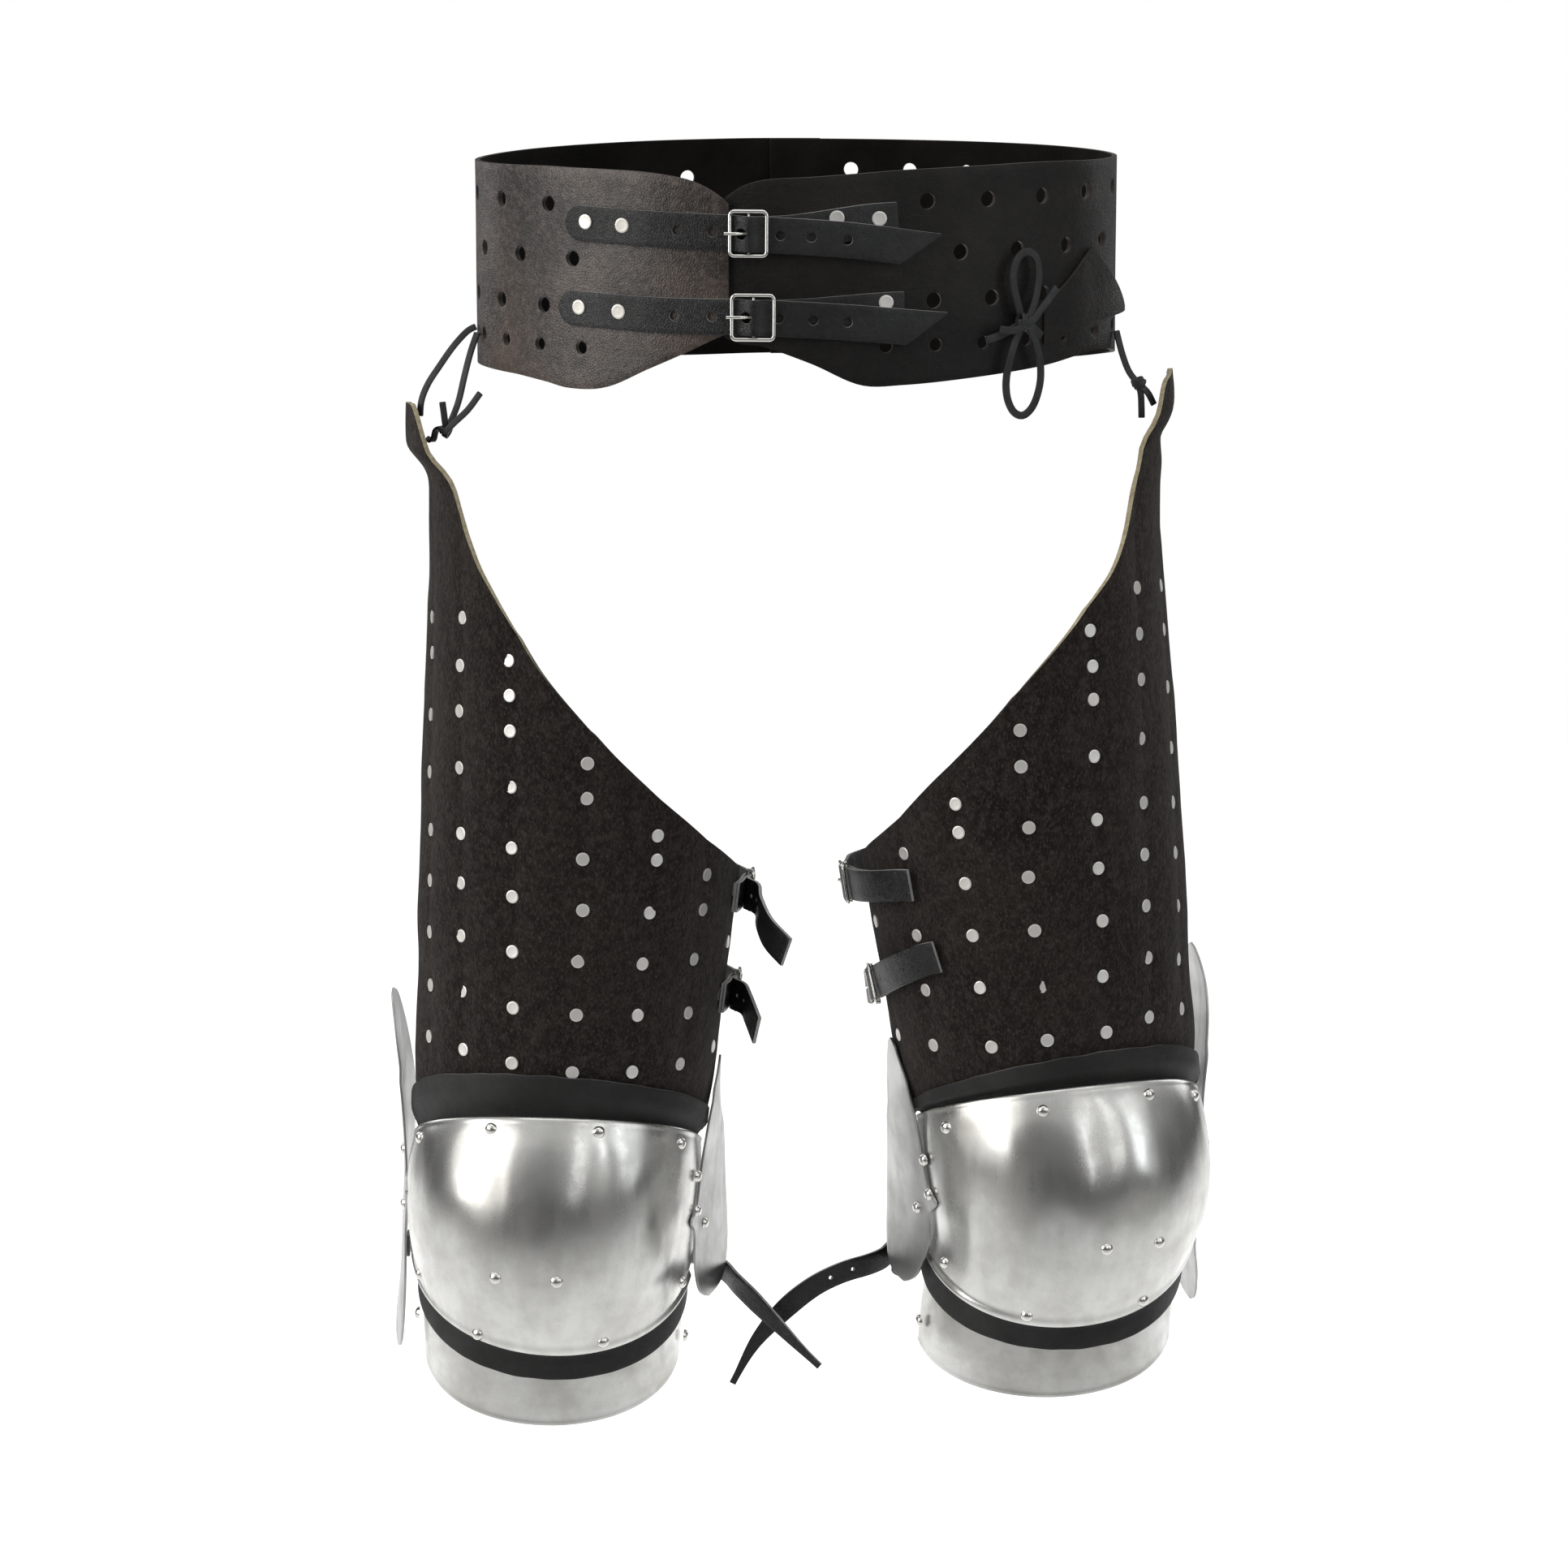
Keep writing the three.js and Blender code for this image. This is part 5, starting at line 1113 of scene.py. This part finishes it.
for side, leg in legs.items():
    tools = buildLegTools(leg)
    leg["tools"] = tools
    surface, edges = tools["surface"], tools["edges"]
    middleLine = tools["frame"] @ Vector((0, 0, 0))

    def outOfLeg(x, y, z):
        return x - middleLine.x * mm, y - middleLine.y * mm, 0

    def thigh(turn, height, out):
        return surface(turn + leg["thighTurn"], height, out)

    # suede: ribs between the rivet columns, a hollow at each rivet, and soft handling waves
    lap = lambda turn: min(8, 0.5 * (edges["stripTop"](turn) - edges["copTop"](turn)))
    high = lambda turn: readTable(suedeTops, turn, leg["topColumn"])
    rivetSpots = [(turn - leg["thighTurn"], height) for turn, height in leg["suedeRivets"]]

    def suedePoint(u, v):
        turn = mix(suede["innerEdge"], suede["outerEdge"], u)
        low = edges["stripTop"](turn) - lap(turn)
        height = mix(low, high(turn), v)
        tucked = 1 - smoothStep(height - edges["stripTop"](turn), -8, 25)
        out = suede["leather"] - suede["tuck"] * tucked + (1 - tucked) * ribOut(turn, height)
        free = (1 - tucked) * smoothStep(turn, -60, -25)  # the straps hold it flat further round
        out += (1 - tucked) * (0.6 * ripple((turn * arcPerDegree, height, 0), 48, leg["mirror"])
                               + 0.22 * ripple((turn * arcPerDegree, height, 9), 13, leg["mirror"]))
        out += free * (0.35 * ribOut(turn, height)
                       + 0.7 * ripple((turn * arcPerDegree, height * 0.35, 4), 17, leg["mirror"]))
        for spotTurn, spotHeight in rivetSpots:
            across, up = (turn - spotTurn) * arcPerDegree, height - spotHeight
            if abs(across) < hollow["reach"] and abs(up) < hollow["reach"]:
                out -= hollow["depth"] * math.exp(-(across * across + up * up) / hollow["spread"])
        return thigh(turn, height, out)

    cuisse = shell(
        f"{side}Cuisse", 170, 150, suedePoint, suede["leather"] - 0.1, outOfLeg, bevel=0.5, rim=True,
        uv=lambda u, v: (u * 0.342, v * 0.43))
    dress(cuisse, "suede", (suedeBlack, suedeEdge), f"{side}_cuisse")

    places = [faceMatrix(surface, turn, height, suede["leather"] + 0.05) for turn, height in leg["suedeRivets"]]
    setRivets(f"{side}SuedeRivets", makeDisc("suedeDisc", *rivetSize["suede"]), places, rivetSteel, "satin_steel")
    print(side, "cuisse is riveted")

    # knee strips, cop and lame round the knee's front
    def ringShell(name, half, columns, rows, levels, depth, thickness, material, slotName, node, **extra):
        def point(u, v):
            turn = leg["kneeTurn"] + mix(-half, half, u)
            low, top = levels(turn)
            height = mix(low, top, v)
            return surface(turn, height, depth(turn, height))

        piece = shell(name, columns, rows, point, thickness, outOfLeg, **extra)
        return dress(piece, slotName, material, node)

    def overSuede(turn, height):
        start, end = edges["copTop"](turn) + 1, edges["stripTop"](turn) - lap(turn) - 1
        return mix(-2 * gap, 4.7, smoothStep(height, start, end))

    ringShell(
        f"{side}KneeStripTop", reach["cop"], 110, 14,
        lambda turn: (edges["copTop"](turn) - 12, edges["stripTop"](turn) + 0.8 * ripple((turn, 3, leg["mirror"]), 9)),
        lambda turn, height: overSuede(turn, height) + 0.3 * ripple((turn, height, 2), 14),
        2, (stripMatt, stripEdge), "strap_leather", f"{side}_knee_strip_top", rim=True, bevel=0.4)

    def copSkin(turn, height):
        out = tools["copOut"](turn, height) + steelSize["cop"]
        fromTop = edges["copTop"](turn) - height
        out += 0.9 * (1 - smoothStep(fromTop, 0, 3.2))  # the turned upper lip
        body = smoothStep(fromTop, 4, 18) * smoothStep(height - edges["copBottom"](turn), 4, 18)
        return out + body * (0.9 * ripple((turn * 1.5, height * 0.6, 0), 24, 3 + leg["mirror"])
                             + 0.08 * ripple((turn * 1.5, height * 0.5, 0), 9, leg["mirror"]))

    ringShell(
        f"{side}Cop", reach["cop"], 130, 100, lambda turn: (edges["copBottom"](turn), edges["copTop"](turn)),
        copSkin, steelSize["cop"], (copSteel,), "bright_steel", f"{side}_cop", bevel=0.3)

    def underCop(turn, height):
        inside = tools["copOut"](turn, height) - 0.7
        return mix(-gap, inside, smoothStep(height, edges["copBottom"](turn) - 3, edges["copBottom"](turn) + 1))

    ringShell(
        f"{side}KneeStripLow", reach["lame"], 120, 12,
        lambda turn: (edges["stripBottom"](turn) + 0.5 * ripple((turn, 8, leg["mirror"]), 9),
                      edges["copBottom"](turn) + 10),
        underCop, 2, (stripMatt, stripEdge), "strap_leather", f"{side}_knee_strip_low", rim=True, bevel=0.4)

    def lameSkin(turn, height):
        fromBottom = height - edges["lameBottom"](turn)
        return -gap - 3 + 0.5 * (1 - smoothStep(fromBottom, 0, 3)) + 0.25 * ripple((turn, height, 0), 24)

    ringShell(
        f"{side}Lame", reach["lame"], 120, 22,
        lambda turn: (edges["lameBottom"](turn), edges["stripBottom"](turn) + 12),
        lameSkin, steelSize["lame"], (lameSteel,), "bright_steel", f"{side}_lame", bevel=0.35)

    # wings: a long leaf each, its tips rounded
    for wingName, outline in wingOutlines.items():
        first, last = outline["edges"][0][0], outline["edges"][-1][0]
        wingSide, cusp = outline["side"], leg["cusps"][wingName]

        def wingPoint(u, v):
            rise = mix(first, last, u)
            front, back = readTable(outline["edges"], rise, 1), readTable(outline["edges"], rise, 2)
            fromTip = min(rise - first, last - rise)
            share = math.sqrt(max(0.0, 1 - (1 - clamp(fromTip / 4.5, 0, 1)) ** 2))
            middle = (front + back) / 2
            turn = mix(mix(middle, front, share), mix(middle, back, share), v)
            out = tools["wingOut"](wingName, rise, turn) + steelSize["wing"]
            out += 0.35 * ripple((rise, turn * 1.5, 0), 40, wingSide + 2 * leg["mirror"])
            return surface(wingSide * turn + leg["kneeTurn"], cusp + rise, out)

        wing = shell(f"{side}Wing{wingName.title()}", 110, 20, wingPoint, steelSize["wing"], outOfLeg, bevel=0.3)
        dress(wing, "satin_steel", (wingSteel,), f"{side}_wing_{wingName}")

    # domed rivets on the cop, the wings and the lame
    places = []
    for turn, height in leg["copRivets"]:
        places.append(faceMatrix(surface, turn, height, copSkin(turn, height)))
    for wingName, spots in leg["wingRivets"].items():
        wingSide, cusp = wingOutlines[wingName]["side"], leg["cusps"][wingName]
        for turn, height in spots:
            onWing = turn if wingName == "outer" else turn + leg["kneeTurn"]
            out = tools["wingOut"](wingName, height - cusp, onWing) + steelSize["wing"]
            places.append(faceMatrix(surface, wingSide * onWing + leg["kneeTurn"], height, out))
    for turn, height in leg["lameRivets"]:
        places.append(faceMatrix(surface, turn, height, underCop(turn, height) + 0.1))
    setRivets(f"{side}KneeRivets", makeDome("dome", *rivetSize["dome"]), places, nickelBright, "bright_steel")
    print(side, "knee is built")

# splints keep their own plates
for side in legs:
    for i in range(1, len(rivetColumns)):
        addMaterials(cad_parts[f"{side}_splint_{i}"], splintSteel)


# ---- straps round the legs ----
strapRun = {"step": 14, "nearBar": 12, "barStep": 3}


def strapStations(place, start, bar, end, base, heightAt, clear, slack=0, dip=0):
    near, past = bar - strapRun["nearBar"], bar + 3 * strapRun["barStep"]
    rounds = math.ceil((near - start) / strapRun["step"])
    arcs = [mix(start, near, i / rounds) for i in range(rounds + 1)]
    arcs += [bar + strapRun["barStep"] * i for i in range(-3, 4)]
    ends = math.ceil((end - past) / (3 * strapRun["barStep"]))
    arcs += [mix(past, end, i / ends) for i in range(1, ends + 1)]
    stations = []
    for arc in arcs:
        low = mix(clear, stack["tail"], smoothStep(arc, bar - 30, bar - 10))
        loose = slack * smoothStep(arc, bar - 110, bar - 50) * (1 - smoothStep(arc, bar - 40, bar - 12))
        lift = low + loose + bumpAt(arc, bar) * (stack["overBar"] - stack["tail"]) + strapSize["leather"] / 2
        lift -= dip * (1 - smoothStep(arc, start + 18, start + 40))
        stations.append((place(arc, heightAt(arc), base + lift), strapFrame(place, arc, heightAt, base)[2]))
    return stations, len(arcs) - ends - 4  # and the station over the bar


thighStraps = {
    "upper": {
        "width": 19, "heights": [(-258, 140), (-180, 128), (-88, 130), (-48, 136)],
        "right": {"bar": -90, "end": -82, "drop": 4.5, "slack": 0, "stand": 0, "holes": (24, 32, 40),
                  "tail": [(-107.5, -25, 125), (-109, -36, 120), (-115, -52, 111), (-126.5, -68, 103)]},
        "left": {"bar": -87, "end": -45, "drop": 0, "slack": 7, "stand": 5, "holes": (18, 29, 41), "tail": []}},
    "lower": {
        "width": 19, "heights": [(-258, 80), (-180, 54), (-105, 57), (-84, 67), (-40, 93)],
        "right": {"bar": -90, "end": -82, "drop": 0, "slack": 0, "stand": 0, "holes": (22, 32),
                  "tail": [(-104, -23, 63.5), (-106.5, -32, 61), (-110, -44, 56), (-113, -54, 51.5)]},
        "left": {"bar": -84, "end": -38, "drop": 0, "slack": 12, "stand": 0, "holes": (12, 24, 38), "tail": []}},
}
for side, leg in legs.items():
    surface = leg["tools"]["surface"]
    for name, strap in thighStraps.items():
        fit = strap[side]
        barArc = fit["bar"] * arcPerDegree

        def place(arc, height, out):
            off = fit["stand"] * smoothStep(arc, barArc - 70, barArc - 25)
            off *= 1 - smoothStep(arc, barArc + 10, barArc + 68)
            return surface(arc / arcPerDegree + leg["thighTurn"], height, out + off)

        def heightAt(arc):
            level = len(fit["tail"]) > 0 and arc > barArc - 40
            return readTable(strap["heights"], fit["bar"] if level else arc / arcPerDegree) - fit["drop"]

        base = suede["leather"] + suede["rib"]
        stations, barStation = strapStations(
            place, -258 * arcPerDegree, barArc, fit["end"] * arcPerDegree, base, heightAt, gap, fit["slack"],
            0.5 * fit["stand"] / 5)
        wide = Vector((0, 0, math.copysign(1, stations[-1][1].z)))
        legTurn = leg["tools"]["frame"].to_3x3()
        for x, y, z in fit["tail"]:
            stations.append((leg["tools"]["frame"] @ Vector((leg["mirror"] * x, y, z)), legTurn @ wide))
        rail = layRail(stations, 4)
        barAlong = rail["marks"][barStation]
        holes = [(barAlong - strapSize["prongBehind"], 0, 1.7)] + [(barAlong + far, 0, 1.1) for far in fit["holes"]]
        piece = ribbon(f"{side}ThighStrap{name.title()}", rail, strap["width"], strapSize["leather"], holes=holes,
                       cell=3, across=3.5)
        dress(piece, "strap_leather", (strapBlack, strapEdgeAndHighlight), f"{side}_thigh_strap_{name}")
        makeChape(f"{side}ThighChape{name.title()}", place, barArc, barArc + 30, base, heightAt,
                  strap["width"] - 1, 8, f"{side}_thigh_chape_{name}")
        makeBuckle(f"{side}ThighBuckle{name.title()}", 22, 25, 2, place, barArc, heightAt, base,
                   f"{side}_thigh_buckle_{name}")
print("thigh straps are buckled")

# knee straps: from the outer wing, round the back, to a buckle under the inner wing; the tail hangs free
kneeStrap = {
    "width": 13, "from": -263, "chapeEnd": -97, "pace": 1.6, "backOut": 7, "wingEdge": 104,
    "heights": {"right": -117, "left": -110}, "underWing": {"right": 1.5, "left": 0.9},
    "bars": {"right": -131, "left": -134}, "holes": {"right": (62,), "left": (58, 74)},
    "tails": {
        "right": [(-99, 40, -118.5), (-107, 24.5, -119.5), (-113, 8, -121), (-125.5, -10, -127), (-140, -25, -136),
                  (-154, -33, -146.5), (-167, -38, -156)],
        "left": [(-106, 30, -111), (-111, 23, -113), (-120.5, 12, -113), (-135.5, 2, -113), (-151, -6, -116),
                 (-164, -10, -122), (-178, -11, -132), (-194.5, -10, -148), (-211, -9, -172)]},
}
for side, leg in legs.items():
    tools, pace = leg["tools"], kneeStrap["pace"]
    height, barArc = kneeStrap["heights"][side], kneeStrap["bars"][side] * kneeStrap["pace"]

    def under(name, turn, depth):
        return tools["wingOut"](name, height - leg["cusps"][name], min(kneeStrap["wingEdge"], turn)) - depth

    def carried(turn):
        outer = mix(under("outer", 360 + turn, strapSize["leather"] + 1.8), kneeStrap["backOut"],
                    smoothStep(turn, -246, -210))
        inner = under("inner", -turn, stack["tail"] + kneeStrap["underWing"][side])
        return mix(outer, inner, smoothStep(turn, -170, -140))

    def place(arc, at, out):
        return tools["surface"](arc / pace + leg["kneeTurn"], at, out + carried(arc / pace))

    heightAt = lambda arc: height
    stations, barStation = strapStations(
        place, kneeStrap["from"] * pace, barArc, barArc + 13, 0, heightAt, 0)
    legTurn = tools["frame"].to_3x3()
    for x, y, z in kneeStrap["tails"][side]:
        stations.append((tools["frame"] @ Vector((leg["mirror"] * x, y, z)), legTurn @ Vector((0, 0, 1))))
    stations = [(centre, wide if wide.z > 0 else -wide) for centre, wide in stations]
    rail = layRail(stations, 4)
    barAlong = rail["marks"][barStation]
    holes = [(barAlong - strapSize["prongBehind"], 0, 1.7)]
    holes += [(barAlong + far, 0, 1.3) for far in kneeStrap["holes"][side]]
    piece = ribbon(f"{side}KneeStrap", rail, kneeStrap["width"], strapSize["leather"],
                   lambda t: mix(1, 0.3, smoothStep(t, 0.82, 1)), holes, cell=3, across=2.6)
    dress(piece, "strap_leather", (strapBlack, strapEdgeAndHighlight), f"{side}_knee_strap")
    makeChape(f"{side}KneeChape", place, barArc, kneeStrap["chapeEnd"] * pace, 0, heightAt,
              kneeStrap["width"] - 1, 8, f"{side}_knee_chape")
    makeBuckle(f"{side}KneeBuckle", 19, 20, 1.8, place, barArc, heightAt, 0, f"{side}_knee_buckle")
print("knee straps are buckled")


# ---- floor, light and air ----
stage = {"floorZ": -1.0, "floorSize": 9, "floorMiddle": 1.8, "floorColour": (0.93, 0.93, 0.93), "floorGlow": 0.55,
         "airColour": (1.0, 1.0, 1.0)}
bpy.ops.object.select_all(action="DESELECT")
bpy.ops.mesh.primitive_grid_add(x_subdivisions=12, y_subdivisions=12, size=stage["floorSize"])
floor = bpy.context.object
floor.name = "floor"
for vertex in floor.data.vertices:
    vertex.co.z = stage["floorZ"]
    vertex.co.y += stage["floorMiddle"]
floorPaint, nodes, links, shader = startMaterial("floorPaint", stage["floorColour"], 0, 0.9)
shader.inputs["Specular IOR Level"].default_value = 0.1
shader.inputs["Emission Color"].default_value = (1, 1, 1, 1)
shader.inputs["Emission Strength"].default_value = stage["floorGlow"]
distance = nodes.new("ShaderNodeVectorMath")
distance.operation = "DISTANCE"
distance.inputs[1].default_value = (0, stage["floorMiddle"], stage["floorZ"])
links.new(objectPlace(nodes), distance.inputs[0])
fade = addRange(nodes, links, distance.outputs["Value"], 1.2, 3.4, 1.0, 0.0)
links.new(fade, shader.inputs["Alpha"])
addMaterials(floor, floorPaint)

# a softbox each: place, what it faces, size, power, colour
softboxes = {
    "keyLeft": ((-2.9, -1.5, 0.6), (0, 0, -0.25), (2.6, 2.6), 66, (1.0, 0.985, 0.96)),
    "fillRight": ((2.6, -1.3, 0.4), (0, 0, -0.3), (0.8, 2.0), 9, (0.95, 0.98, 1.0)),
    "stripNear": ((0.85, -2.3, 0.5), (0.1, 0, -0.4), (0.14, 1.9), 3.4, (1, 1, 1)),
    "stripFar": ((1.6, -2.0, 0.5), (0.1, 0, -0.4), (0.2, 1.9), 3.6, (1, 1, 1)),
    "top": ((0, -0.5, 2.1), (0, 0, -0.2), (2.2, 1.4), 10, (1, 1, 1)),
    "backLeft": ((-1.9, 1.7, 0.7), (0, 0, -0.3), (1.0, 2.0), 9, (1, 1, 1)),
    "backRight": ((1.9, 1.7, 0.7), (0, 0, -0.3), (1.0, 2.0), 9, (1, 1, 1)),
}
for name, (place, aim, size, power, colour) in softboxes.items():
    bpy.ops.object.light_add(type="AREA", location=place)
    lamp = bpy.context.object
    lamp.name = name
    lamp.rotation_euler = (Vector(aim) - Vector(place)).to_track_quat("-Z", "Y").to_euler()
    lamp.data.shape = "RECTANGLE"
    lamp.data.size, lamp.data.size_y = size
    lamp.data.energy = power
    lamp.data.color = colour
bpy.ops.object.select_all(action="DESELECT")

world = bpy.data.worlds.new("studioAir")
bpy.context.scene.world = world
world.use_nodes = True
nodes, links = world.node_tree.nodes, world.node_tree.links
background = nodes["Background"]
direction = nodes.new("ShaderNodeTexCoord").outputs["Generated"]
split = nodes.new("ShaderNodeSeparateXYZ")
links.new(direction, split.inputs["Vector"])
sky = addRamp(nodes, links, addRange(nodes, links, split.outputs["Z"], -1, 1, 0, 1),
              (0.0, 0.22), (0.36, 0.15), (0.46, 0.06), (0.56, 0.14), (0.75, 0.5), (1.0, 0.7))
seen = nodes.new("ShaderNodeLightPath").outputs["Is Camera Ray"]
links.new(addBlend(nodes, links, seen, sky, stage["airColour"]), background.inputs["Color"])
background.inputs["Strength"].default_value = 1.0
bpy.context.scene.view_settings.view_transform = "Standard"
bpy.context.scene.view_settings.look = "None"
print("stage is lit")
